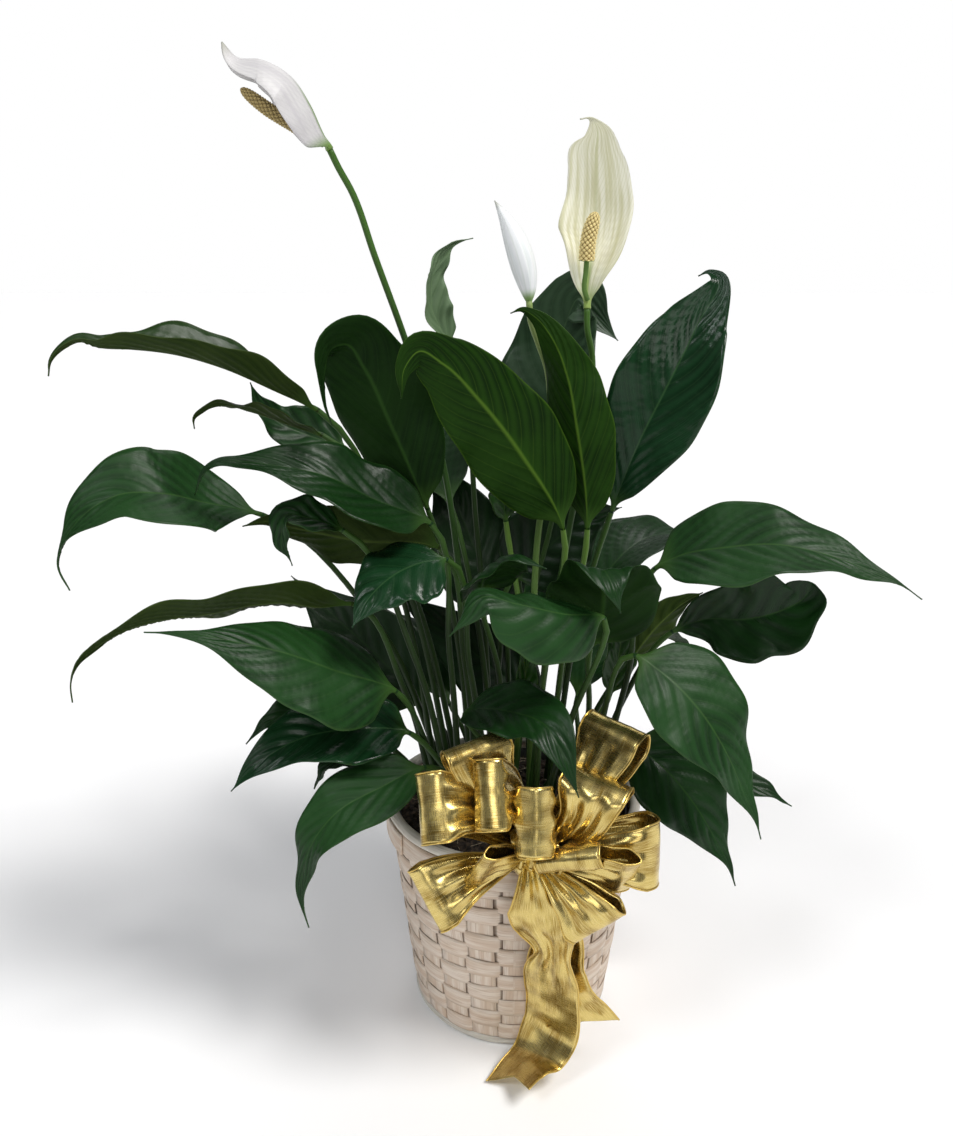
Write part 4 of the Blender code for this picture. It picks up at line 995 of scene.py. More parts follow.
BLOOMS = (
    Bloom("bloom_left", ((-46, 16, 370), (-65, 10, 436), (-82, 8, 485), (-94, 6, 520)),
          StemFinish((46, 78, 30), (70, 108, 42)),
          Leaf("spathe", Tone.GREY, ((-104, 0, 540), (-108, -3, 549), (-113, -7, 561), (-122, -10, 574),
                                     (-136, -13, 581), (-148, -15, 582), (-155, -16, 589)), 23,
               (-0.35, 0.0, -0.94), fold=44, wave=0.6, shape=(0.5, 0.85)),
          SpatheFinish((216, 214, 214), (202, 199, 202), (196, 196, 194), (104, 138, 58), 0.55),
          Spadix(((-120, -9, 550), (-133, -12, 557.5), (-147, -15, 567.5)), 3.6,
                 SpadixFinish((172, 152, 98), (104, 84, 42), (130, 142, 78)))),
    Bloom("bloom_middle", ((13, 4, 310), (20, 4, 398), (17, 4, 423), (11, 3, 439)),
          StemFinish((84, 118, 52), (150, 172, 104)),
          Leaf("spathe", Tone.GREY, ((6, 1, 460), (5, 1, 469), (1, 0, 485), (-7, 1, 503), (-14, 2, 514)),
               6.8, (0.3, -1.0, 0.0)),
          SpatheFinish((246, 248, 250), (232, 237, 238), (216, 224, 216), (128, 164, 88), 0.3)),
    Bloom("bloom_right", ((33, 10, 320), (45, 11, 414), (44, 11, 430)),
          StemFinish((46, 78, 30), (66, 102, 38)),
          Leaf("spathe", Tone.GREY, ((40, 8, 456), (40, 10, 472), (44, 16, 497), (44, 18, 521),
                                     (43, 14, 539), (42, 8, 552), (38, 3, 556), (32, 0, 555)), 22,
               (-0.05, -1.0, 0.15), fold=24, wave=0.8, shape=(1.1, 1.15),
               lobes=((0.78, 0.07, 3.5, 0.5), (0.58, 0.08, -2.5, 0.0), (0.36, 0.09, 2.0, 0.0),
                      (0.93, 0.06, -2.5, -3.0))),
          SpatheFinish((247, 246, 228), (216, 214, 178), (204, 206, 160), (140, 166, 80), 0.3),
          Spadix(((37.5, 4, 467), (38, 3, 476), (39, 0, 496), (42, -2, 508)), 4.4,
                 SpadixFinish((238, 218, 152), (138, 108, 42), (84, 118, 44)), 0.46)),
)


@dataclass(frozen=True)
class FlowerSize:
    """Sizes and counts that the blooms share. The bud is the closed spathe, and the rod carries knobs."""

    sheet: Blade = Blade(thickness=0.7, vein_pitch=4.5, vein_lean=0.42, vein_depth=0.16, rib_height=0.5,
                         rows_a_vein=5, tip_half_width=0.3, given_normal_at=4 / 9)
    stem_rows: int = 110
    stem_around: int = 18
    stem_taper: float = 0.16
    neck: float = 10.0
    seat_overlap: float = 0.4
    bud_rows: int = 90
    bud_around: int = 64
    bud_given_row: int = 23
    bud_lap: float = 0.16
    bud_veins: int = 11
    bud_vein_share: float = 0.012
    half_skin: float = 0.4
    clear_of_spathe: float = 0.7
    stalk_share: float = 0.34
    stalk_rows: int = 8
    rod_rows: int = 136
    rod_around: int = 72
    knobs_around: int = 8
    knobs_along: int = 17


class Flowers:
    """The blooms: stems, spathes and spadices."""

    def __init__(self, frame: dict, stance: Stance, size: FlowerSize) -> None:
        """Keeps the frame's nodes, how the stems stand and the shared sizes."""
        self.nodes = frame["nodes"]
        self.stance = stance
        self.size = size

    def stem_patch(self, bloom: Bloom) -> Patch:
        """Makes a flower stem that ends square to the spathe's foot and runs a little way into it."""
        size = self.size
        collar = self.stance.collar(self.nodes[f"{bloom.name}_stem"])
        foot = np.array([collar[0], collar[1], self.stance.foot_height])
        middle = collar + (np.array(bloom.scape[0]) - collar) * np.array(self.stance.scape_lean)
        base, beyond = along(smooth_path(bloom.spathe.midrib), np.array([0, 0.08]))
        way = unit(beyond - base)
        line = smooth_path([collar, middle, *bloom.scape, base - size.neck * way,
                            base + size.seat_overlap * way])
        curve = np.vstack([foot, along(line, np.linspace(0, 1, size.stem_rows))])
        climb = np.linspace(0, 1, len(curve))
        return tube_patch(curve, size.sheet.stem_radius * (1 - size.stem_taper * climb), size.stem_around)

    def open_spathe_patch(self, spathe: Leaf) -> Patch:
        """Makes an open spathe, a cupped blade with close, shallow veins."""
        sheet = self.size.sheet
        line = smooth_path(spathe.midrib)
        veins = round(run_length(line) / sheet.vein_pitch)
        s = np.linspace(0, 1, sheet.rows_a_vein * veins + 1)
        centres = along(line, s)
        tangents = tangents_of(centres)
        start = int(np.argmin(np.abs(s - sheet.given_normal_at)))
        normals = carried_normals(tangents, start, np.array(spathe.face))
        return grid_patch(*sheet.sections(centres, tangents, normals, s, spathe, veins, sheet.stem_radius))

    def closed_spathe_patch(self, spathe: Leaf) -> Patch:
        """Makes a rolled spathe: a spindle whose radius grows by a sixth round a turn, so an edge shows."""
        size = self.size
        s = np.linspace(0, 1, size.bud_rows)
        centres = along(smooth_path(spathe.midrib), s)
        tangents = tangents_of(centres)
        normals = carried_normals(tangents, size.bud_given_row, np.array(spathe.face))
        turn = np.arange(size.bud_around) / size.bud_around
        girth = spathe.half_width * np.maximum(blade_share(s * 0.96 + 0.03, (0.75, 1.05)), 0.05)
        veins = size.bud_vein_share * np.cos(2 * math.pi * size.bud_veins * turn)
        reach = girth[:, None] * (1 + size.bud_lap * turn * np.sin(math.pi * s)[:, None] + veins)
        grid = rings_round(centres, normals, np.cross(tangents, normals), reach)
        return grid_patch(grid, stacked(s[:, None], 2 * turn - 1, size.bud_veins * turn))

    def spadix_patch(self, bloom: Bloom) -> Patch:
        """Makes a spadix: a thin stalk, then a rod of knobs.

        The knobs are |cos a cos b|^0.6 with a and b the sum and difference of the turn and the climb, which
        gives rounded lumps in offset rows. The rod narrows slowly and rounds off at its end.
        """
        size, spadix = self.size, bloom.spadix
        seat, ahead = along(smooth_path(bloom.spathe.midrib), np.array([0.04, 0.15]))
        way = unit(ahead - seat)
        face = np.array(bloom.spathe.face)
        up = unit(face - np.dot(face, way) * way)
        stalk_radius = size.stalk_share * spadix.radius
        start = seat + (size.half_skin + stalk_radius + size.clear_of_spathe) * up
        stalk = spadix.stalk_end
        s = np.concatenate([np.linspace(0, stalk - 0.01, size.stalk_rows),
                            np.linspace(stalk, 1, size.rod_rows)])
        centres = along(smooth_path([start, *spadix.path]), s)
        tangents = tangents_of(centres)
        normals = carried_normals(tangents, 0, np.array([0.0, -1.0, 0.2]))
        rod = np.clip((s - stalk) / (1 - stalk), 0, 1)
        narrowed, rounded = np.clip(1.3 - 0.55 * rod, 0, 1), np.clip(1 - rod ** 9, 0.02, 1)
        girth = spadix.radius * np.sqrt(narrowed) * np.sqrt(rounded)
        girth[:size.stalk_rows] = stalk_radius
        turn = math.pi * size.knobs_around * np.arange(size.rod_around) / size.rod_around
        climb = math.pi * size.knobs_along * (1 - stalk) * rod[:, None]
        lumps = np.abs(np.cos(turn + climb) * np.cos(turn - climb)) ** 0.6
        lumps[:size.stalk_rows] = 0.6
        grid = rings_round(centres, normals, np.cross(tangents, normals),
                           girth[:, None] * (0.78 + 0.3 * lumps))
        return grid_patch(grid, stacked(rod[:, None], 0.0, lumps))

    def build(self) -> None:
        """Builds the three blooms in place of their CAD nodes."""
        for bloom in BLOOMS:
            name, spathe = bloom.name, bloom.spathe
            stem = bloom.stem.make(f"{name}_stem_green")
            petal = bloom.petal.make(f"{name}_petal")
            build_piece(f"{name}_scape", self.stem_patch(bloom), [stem], (f"{name}_stem",))
            patch = self.open_spathe_patch(spathe) if bloom.spadix else self.closed_spathe_patch(spathe)
            build_piece(f"{name}_bract", patch, [petal], (f"{name}_spathe",))
            if bloom.spadix:
                rod = bloom.spadix.finish.make(f"{name}_rod")
                build_piece(f"{name}_spike", self.spadix_patch(bloom), [rod],
                            (f"{name}_spadix",))


@dataclass(frozen=True)
class ChipFinish:
    """Whitewashed chip wood: its face, grain and wash, and a dark colour painted as the shade in its
    recesses, as display colours.

    The row step is how far apart the values of two weavers lie across the grain. It is 0 for chips whose
    edges get no painted shade.
    """

    face: Colour
    grain: Colour
    painted_recess_shade: Colour
    wash: Colour
    row_step: float = 0.0

    def make(self, name: str) -> bpy.types.Material:
        """Makes the material.

        The mesh keeps the length along the chip's grain and the place across it in millimetres, which is
        also offset by strip, and how far the chip stands out, -1 to 1. Where a chip tucks behind another,
        the dark colour is painted on as shade. Weavers also darken along their edges, painted shade in the
        slits between rows, where the distance from the strip's middle, made ragged by a noise, comes to its
        half width.
        """
        shader = Shader(name, seen(*self.face), 0.72)
        run, across, stand = shader.surface_values()
        fine = shader.noise(shader.stretched((run, 0.05), (across, 1.5)), 1.0, 4.0)
        broad = shader.noise(shader.stretched((run, 0.03), (across, 0.22), 3.0), 1.0)
        worn = shader.noise(shader.place(), 45.0)
        colour = shader.mix(shader.ease(broad, 0.38, 0.62), seen(*self.face), seen(*self.wash))
        for share, tint in ((shader.ease(fine, 0.5, 0.72, 0.0, 0.6), self.grain),
                            (shader.ease(worn, 0.55, 0.75, 0.0, 0.35), self.grain),
                            # Painted shade where a weaver tucks behind a stave.
                            (shader.ease(stand, -0.75, -0.1, 0.95, 0.0), self.painted_recess_shade)):
            colour = shader.mix(share, colour, seen(*tint))
        if self.row_step:
            # Painted shade in the slits along the weavers' edges.
            from_middle = shader.math("PINGPONG", across, self.row_step / 2)
            ragged = shader.math("ADD", from_middle, shader.times(worn, 3.0))
            colour = shader.mix(shader.ease(ragged, 7.6, 8.2, 0.0, 0.6), colour, seen(*self.painted_recess_shade))
        shader.put("Base Color", colour)
        shader.bump(shader.math("ADD", fine, shader.times(worn, 0.3)), 0.5, 0.35)
        return shader.material


@dataclass(frozen=True)
class BasketSize:
    """Sizes of the basket, shared with the solids, and of its chips.

    A rest is how far a chip's middle stands off the wall's mean radius, or off the band's inner one, and a
    swing is how far it goes in and out. The field radius is that of the circle on which the random fields
    are read, so that they close round the basket.
    """

    foot_radius: float = 63.5
    top_radius: float = 78.0
    wall_half: float = 1.5
    foot: float = 5.95
    top: float = 140.85
    band_foot: float = 126.85
    band_inner: float = 80.95
    band_outer: float = 84.15
    reed_radius: float = 3.4
    reed_height: float = 144.6
    hoop_radius: float = 2.8
    base_radius: float = 60.35
    base_thickness: float = 4.0
    staves: int = 22
    rows: int = 13
    steps_a_stave: int = 16
    steps_a_row: int = 8
    stave_width: float = 16.0
    stave_pitch: float = 20.4
    weaver_height: float = 12.8
    weaver_step: float = 29.0
    chip: float = 0.8
    weaver_rest: float = 0.85
    weaver_swing: float = 0.95
    stave_rest: float = 0.8
    stave_swing: float = 0.45
    band_rest: float = 0.9
    band_half_chip: float = 0.55
    lap_depth: float = 0.75
    lap_degrees: Pair = (186.0, 212.0)
    field_radius: float = 60.0

    @property
    def pitch(self) -> float:
        """Returns the height of a row of the weave."""
        return (self.top - self.foot) / self.rows

    def wall_radius(self, z: np.ndarray | float) -> np.ndarray:
        """Returns the wall's mean radius at a height: it widens evenly up to the rim band."""
        return self.foot_radius + (self.top_radius - self.foot_radius) * np.clip(z / self.band_foot, 0, 1)

    def stave_turn(self, number: np.ndarray | float) -> np.ndarray | float:
        """Returns the angle of a stave, or of a place between two, counted from the front."""
        return 2 * math.pi * number / self.staves - math.pi / 2


def turned_patch(profile: np.ndarray | list, around: int) -> Patch:
    """Turns a profile of (radius, height) about Z; its values are the arc, the profile's length and 0."""
    profile = np.asarray(profile, float)
    turn = angles_round(around)
    grid = round_axis(profile[:, :1], turn, profile[:, 1:])
    return grid_patch(grid, stacked(turn * profile[:, 0].max(), runs_of(profile)[:, None], 0.0))


def ring_patch(radius: float, section: float, height: float, seed: int) -> Patch:
    """Makes a level ring of reed whose section grows and shrinks a little; the values run along the reed."""
    turn, side = angles_round(260)[:, None], angles_round(18)
    cells = round_axis(40, turn, 4 * np.sin(side))
    reach = section * (0.97 + 0.03 * wander(cells, 14.0, seed) + 0.012 * np.cos(7 * side)[None])
    sway = 0.25 * wander(cells[:, :1], 40.0, seed + 1)
    out = radius - 0.25 + sway + reach * np.cos(side)
    grid = round_axis(out, turn, height + reach * np.sin(side))
    return grid_patch(grid, stacked(turn * radius, section * side, 0.6), loop_rows=True)


class Basket:
    """The woven basket: base, hoop, staves, weavers, rim band and rim reed."""

    def __init__(self, size: BasketSize) -> None:
        """Keeps the sizes."""
        self.size = size

    def standing(self, u: np.ndarray | float, row: np.ndarray | float) -> np.ndarray:
        """Returns how far a weaver stands out at stave u, -1 to 1: a cosine over two staves, flattened."""
        wave = np.cos(math.pi * (u + row))
        return np.sign(wave) * np.abs(wave) ** 0.45

    def weaver(self, row: int) -> Patch:
        """Makes one closed band that goes over and under the staves; its edges wander a little."""
        size = self.size
        steps = size.staves * size.steps_a_stave
        u = size.staves * np.arange(steps) / steps
        turn = size.stave_turn(u)
        cells = round_axis(size.field_radius, turn, 37.0 * row)
        share = np.linspace(-1, 1, 5)
        half = size.weaver_height / 2 * (1 + 0.05 * wander(cells, 30.0, 3))
        middle = size.foot + (row + 0.5) * size.pitch
        z = middle + 0.35 * wander(cells, 55.0, 4)[:, None] + half[:, None] * share
        z = np.clip(z, size.foot, size.top)
        stand = self.standing(u, row)[:, None]
        bow = 0.25 * (1 - share ** 2) * np.clip(stand, 0, 1)
        centre = (size.wall_radius(z) + size.weaver_rest + size.weaver_swing * stand + bow
                  + 0.1 * wander(cells, 20.0, 5)[:, None])
        grid = round_axis(two_faced(centre, size.chip / 2), turn[:, None], two_faced(z))
        arc = u[:, None] * size.stave_pitch + 61.0 * row
        across = two_faced(share[None]) * 6.4 + size.weaver_step * row
        return grid_patch(grid, stacked(arc, across, stand), loop_rows=True)

    def stave(self, number: int) -> Patch:
        """Makes one upright strip that bends against the weavers."""
        size = self.size
        z = np.linspace(size.foot, size.top, size.rows * size.steps_a_row + 1)
        row = (z - size.foot) / size.pitch - 0.5
        stand = -self.standing(float(number), row)[:, None]
        share = np.linspace(-1, 1, 5)
        half = size.stave_width / 2
        cells = stacked(41.0 * number, 0.0, z)
        offset = half * share[None] + 0.4 * wander(cells, 60.0, 8)[:, None]
        radius = size.wall_radius(z)[:, None]
        centre = np.broadcast_to(radius + size.stave_rest + size.stave_swing * stand, offset.shape)
        turn = size.stave_turn(number) + offset / radius
        grid = round_axis(two_faced(centre, size.chip / 2), two_faced(turn), z[:, None])
        across = two_faced(share[None]) * half + 31.0 * number
        return grid_patch(grid, stacked(z[:, None] + 53.0 * number, across, -0.1))

    def band(self) -> Patch:
        """Makes the rim's band and the free end that laps over it."""
        size = self.size
        turn = angles_round(size.staves * size.steps_a_stave)
        share = np.linspace(-1, 1, 6)
        middle, half = (size.band_foot + size.top) / 2, (size.top - size.band_foot) / 2
        cells = round_axis(size.field_radius, turn, 0.0)
        z = np.clip(middle + half * share[None] + 0.3 * wander(cells, 40.0, 11)[:, None],
                    size.band_foot, size.top)
        centre = (size.band_inner + size.band_rest + 0.3 * wander(cells, 30.0, 12)[:, None]
                  + 0.2 * (1 - share ** 2))
        ring = self.strip(turn, z, centre, share, 0.0, loop=True)
        lap = np.radians(np.linspace(*size.lap_degrees, 30))
        z = np.broadcast_to(middle + (half - 0.2) * share, (len(lap), len(share)))
        centre = np.full(z.shape, size.band_outer - size.lap_depth)
        return joined([ring, self.strip(lap, z, centre, share, 90.0, loop=False)])

    def strip(self, turn: np.ndarray, z: np.ndarray, centre: np.ndarray, share: np.ndarray, start: float,
              loop: bool) -> Patch:
        """Makes a level strip of chip wood.

        Args:
            turn: The angle of each row.
            z: Heights, rows by columns.
            centre: Radii of the strip's middle, rows by columns.
            share: The place of each column across the strip, -1 to 1.
            start: What the values along and across the grain start from.
            loop: Whether the strip closes on itself.

        Returns:
            The closed surface.
        """
        grid = round_axis(two_faced(centre, self.size.band_half_chip), turn[:, None], two_faced(z))
        across = two_faced(share[None]) * 7 + start
        return grid_patch(grid, stacked(turn[:, None] * 82.0 + start, across, 0.8), loop_rows=loop)

    def build(self) -> None:
        """Builds the basket in place of its CAD nodes."""
        size = self.size
        # Face, grain, a dark brown painted as the shade in recesses and slits, and wash.
        colours = ((210, 189, 169), (176, 147, 122), (88, 66, 46), (225, 211, 196))
        chip = ChipFinish(*colours).make("chip_wood")
        woven = ChipFinish(*colours, size.weaver_step).make("chip_woven")
        light = ((206, 200, 188), (158, 146, 128), (176, 164, 146), (222, 218, 208))
        pale = ChipFinish(*light).make("pale_wood")
        edge, thick = size.base_radius, size.base_thickness
        base = [(0.4, 0.0), (30, 0.0), (edge - 0.4, 0.0), (edge, 0.5), (edge, thick - 0.5),
                (edge - 0.5, thick), (0.4, thick)]
        staves = joined([self.stave(number) for number in range(size.staves)])
        weavers = joined([self.weaver(row) for row in range(size.rows)])
        hoop = ring_patch(size.foot_radius, size.hoop_radius, size.hoop_radius, 21)
        reed = ring_patch(size.band_outer - size.reed_radius, size.reed_radius, size.reed_height, 22)
        for name, patch, finish, slot, node in (
                ("woven_base", turned_patch(base, 120), chip, "whitewashed_chip", "basket_base"),
                ("foot_hoop_reed", hoop, pale, "pale_reed", "basket_foot_hoop"),
                ("wall_staves", staves, chip, "whitewashed_chip", "basket_woven_wall"),
                ("wall_weavers", weavers, woven, "whitewashed_chip", "basket_woven_wall"),
                ("rim_chip_band", self.band(), chip, "whitewashed_chip", "basket_rim_band"),
                ("rim_reed_round", reed, pale, "pale_reed", "basket_rim_reed")):
            build_piece(name, patch, [finish], (node,))


@dataclass(frozen=True)
class FillingSize:
    """Sizes of the liner and the soil. The dome is the soil's rise above its height, at radii."""

    gap: float = 0.35
    wall: float = 1.6
    bevel: float = 6.0
    below_top: float = 2.0
    axis_hole: float = 0.4
    liner_around: int = 120
    soil_height: float = 136.0
    dome_radii: tuple[float, ...] = (0, 18, 40, 60, 72.5)
    dome_rise: tuple[float, ...] = (5, 4, 1.5, -1.5, -4.0)
    rough_above: float = 130.0
    shoulder: float = 124.0
    soil_rings: int = 56
    soil_around: int = 200
    crumbs: int = 900
    crumb_reach: float = 70.0
    fibres: int = 110
    fibre_reach: float = 68.0
    fibre_limit: float = 71.0


class Filling:
    """The liner and the soil with its crumbs and fibres."""

    def __init__(self, basket: BasketSize, size: FillingSize) -> None:
        """Keeps the basket's sizes, which the liner follows, and its own."""
        self.basket = basket
        self.size = size

    def liner_radius(self, z: float) -> float:
        """Returns the liner's outer radius at a height."""
        return float(self.basket.wall_radius(z)) - self.basket.wall_half - self.size.gap

    def liner(self) -> Patch:
        """Makes the liner: a thin cup, turned from one closed profile."""
        size = self.size
        top, band = self.basket.top - size.below_top, self.basket.band_foot
        foot = self.basket.base_thickness + size.gap
        low = self.liner_radius(foot)
        outer = [(self.liner_radius(top), top), (self.liner_radius(band), band), (low, foot + size.bevel),
                 (low - size.bevel, foot)]
        inner = [(radius - size.wall, height) for radius, height in reversed(outer)]
        inner[0] = (inner[0][0], foot + size.wall)
        profile = [(size.axis_hole, foot + size.wall), *inner, *outer, (size.axis_hole, foot)]
        return turned_patch(profile, size.liner_around)

    def crown(self, radius: np.ndarray | float) -> np.ndarray:
        """Returns the soil's height at a distance from the axis."""
        return self.size.soil_height + np.interp(radius, self.size.dome_radii, self.size.dome_rise)

    def soil(self) -> Patch:
        """Makes the soil: a turned body whose top is roughened by two smooth random fields."""
        size = self.size
        inset = size.wall + 2 * size.gap
        foot = self.basket.base_thickness + 2 * size.gap + size.wall
        edge = self.liner_radius(self.basket.band_foot) - inset
        low = self.liner_radius(foot) - inset
        radii = np.linspace(size.axis_hole, edge, size.soil_rings)
        sides = [(edge, size.shoulder), (low, foot + size.bevel), (low - size.bevel, foot),
                 (size.axis_hole, foot)]
        patch = turned_patch(np.vstack([np.stack([radii, self.crown(radii)], 1), sides]), size.soil_around)
        rough = 0.9 * wander(patch.points, 9.0, 31) + 0.5 * wander(patch.points, 3.5, 32)
        upper = patch.points[:, 2] > size.rough_above
        patch.points[:, 2] += np.where(upper, np.clip(rough, -1.6, 1.4), 0.0)
        return patch

    def strewn(self, draw: np.random.Generator, count: int, reach: float) -> tuple[np.ndarray, np.ndarray]:
        """Draws the radii and angles of places spread evenly over a disc."""
        return reach * np.sqrt(draw.random(count)), draw.uniform(0, 2 * math.pi, count)

    def crumbs(self) -> Patch:
        """Makes crumbs of soil and bark as small lumpy balls strewn over the top."""
        draw = np.random.default_rng(33)
        rows, around = 5, 8
        lat = np.linspace(0.12, math.pi - 0.12, rows)[:, None]
        ball = round_axis(np.sin(lat), angles_round(around), np.cos(lat))
        count = self.size.crumbs
        radii, angles = self.strewn(draw, count, self.size.crumb_reach)
        patches = []
        for radius, angle, size in zip(radii, angles, draw.uniform(0.7, 2.1, count) ** 1.2):
            lump = ball * (1 + 0.28 * draw.normal(size=(rows, around, 1)))
            lump = lump * size * draw.uniform(0.6, 1.3, 3)
            place = np.array([radius * math.cos(angle), radius * math.sin(angle), self.crown(radius) + 0.3])
            patches.append(grid_patch(lump + place, np.full((rows, around, 3), draw.random())))
        return joined(patches)

    def fibres(self) -> Patch:
        """Makes pale root fibres that arch over the soil."""
        draw = np.random.default_rng(34)
        radii, angles = self.strewn(draw, self.size.fibres, self.size.fibre_reach)
        patches = []
        for radius, angle, heading in zip(radii, angles, draw.uniform(0, 2 * math.pi, self.size.fibres)):
            start = np.array([radius * math.cos(angle), radius * math.sin(angle), 0.0])
            way = np.array([math.cos(heading), math.sin(heading), 0.0])
            steps = np.array([start + way * d + draw.normal(0, 1.1, 3) for d in (0, 4, 8, 12)])
            out = np.maximum(np.hypot(steps[:, :1], steps[:, 1:2]), 1)
            steps *= np.minimum(1, self.size.fibre_limit / out)
            steps[:, 2] = self.crown(np.hypot(steps[:, 0], steps[:, 1])) + draw.uniform(0.4, 2.2, 4)
            patches.append(tube_patch(smooth_path(steps, 4), draw.uniform(0.16, 0.32), 5))
        return joined(patches)

    def build(self) -> None:
        """Builds the liner, soil, crumbs and fibres."""
        plastic = Shader("liner_film", seen(26, 26, 24), 0.4)
        plastic.bump(plastic.noise(plastic.place(), 60.0), 0.2, 0.5)
        earth = Shader("soil_dark", seen(44, 34, 24), 0.95)
        speck = earth.noise(earth.place(), 420.0, 4.0)
        earth.put("Base Color", earth.mix(earth.ease(speck, 0.4, 0.7), seen(30, 23, 17), seen(74, 60, 46)))
        earth.bump(speck, 0.8, 0.8)
        fibre = Shader("root_fibre", seen(150, 138, 116), 0.8)
        for name, patch, shader, slot, node in (
                ("liner_cup", self.liner(), plastic, "liner_plastic", "plastic_liner"),
                ("soil_body", self.soil(), earth, "potting_soil", "potting_soil"),
                ("soil_crumbs", self.crumbs(), earth, "potting_soil", "potting_soil"),
                ("soil_fibres", self.fibres(), fibre, "potting_soil", "potting_soil")):
            build_piece(name, patch, [shader.material], (node,))


@dataclass(frozen=True)
class Loop:
    """A bow loop as a tube of ribbon: its middle from the knot, its axis, and its two half sizes."""

    middle: Triple
    axis: Triple
    length_half: float
    open_half: float


LOOPS = (
    Loop((-49, -14, 38), (0.1, -0.55, -0.8), 14, 12),
    Loop((-30, 3, 60), (0.88, 0.35, 0.2), 10, 9),
    Loop((-22, -16, 47), (0.05, -0.5, -0.86), 11, 10),
    Loop((0, -17, 33), (0.0, -0.35, -0.93), 13, 12),
    Loop((32, -8, 38), (0.85, -0.4, -0.2), 16, 14),
    Loop((20, -24, 14), (0.9, -0.3, 0.3), 9, 7),
    Loop((44, 10, 64), (0.7, -0.65, -0.1), 13, 8),
    Loop((52, -5, 6), (0.0, 0.2, 0.98), 19, 15),
    Loop((43, -19, 4), (0.05, -0.55, 0.83), 13, 5),
    Loop((-50, -20, -10), (0.5, -0.3, -0.81), 11, 6),
    Loop((-24, -22, 8), (0.3, -0.5, 0.8), 10, 4),
    Loop((31, -16, -27), (0.7, -0.2, 0.68), 11, 6),
)


@dataclass(frozen=True)
class Tail:
    """A ribbon end.

    Attributes:
        path: Points of its middle, from the knot on.
        widths: Which way its width runs, at places spread evenly along it.
        notch: How deep a V is cut into its end.
        slant: How much shorter one edge is than the other.
        spread: How fast it opens out from the knot, in widths over its whole length.
        pinch: The share of its width that it loses where it is pinched.
    """

    path: tuple[Triple, ...]
    widths: tuple[Triple, ...]
    notch: float
    slant: float
    spread: float = 2.6
    pinch: float = 0.0


TAILS = (
    Tail(((7, -98, 158), (10, -104, 144), (14, -105, 121), (20, -99, 98), (20.5, -93, 80), (21, -89, 61),
          (22.5, -86, 43), (20, -85, 27), (13.7, -88, 17), (4, -96, 12), (-5.7, -107.5, 10.5)),
         ((1.0, 0.1, 0.0), (1.0, 0.1, 0.0), (0.95, -0.3, 0.0), (0.9, -0.4, 0.0), (0.85, -0.5, 0.1),
          (0.8, -0.6, 0.1), (0.8, -0.55, 0.2), (0.82, -0.42, 0.38), (0.85, -0.3, 0.43)),
         7.0, 0.0, 4.6, 0.42),
    Tail(((12, -96, 157), (20, -94, 130), (25, -87, 98), (24, -83, 72), (33, -82, 47), (49, -86, 25)),
         ((0.7, 0.3, 0.2), (0.9, -0.1, 0.1), (0.93, -0.3, 0.0), (0.95, -0.25, -0.1), (0.93, 0.0, -0.3)),
         0.0, 26.0, 1.1),
)


@dataclass(frozen=True)
class RibbonSize:
    """Sizes of the ribbon, of its pleats, of its edge wires and of the pick.

    A gathered share is how much of its width the ribbon keeps. The pinch and the cut of a ribbon end lie at
    shares of its length.
    """

    width: float = 37.0
    thickness: float = 0.4
    knot: Triple = (7.0, -94.0, 161.0)
    knot_radius: float = 12.0
    knot_inset: float = 3.2
    knot_gathered: float = 0.5
    gathered_share: float = 0.2
    spread: float = 2.4
    tail_gathered: float = 0.3
    pinch_place: float = 0.37
    pinch_spread: float = 0.09
    cut_from: float = 0.8
    cut_power: float = 1.5
    pleats: int = 3
    columns: int = 21
    loop_inset: float = 3.0
    loop_rows: int = 100
    tail_rows: int = 150
    knot_rows: int = 70
    wire: float = 0.55
    wire_around: int = 7
    pick_radius: float = 0.9
    pick_rows: int = 60
    pick_around: int = 12
    pick: tuple[Triple, ...] = ((7, -78, 159.5), (6, -70, 157), (5, -64, 149), (5, -62, 140))
    pick_end: Triple = (5, -62, 118)


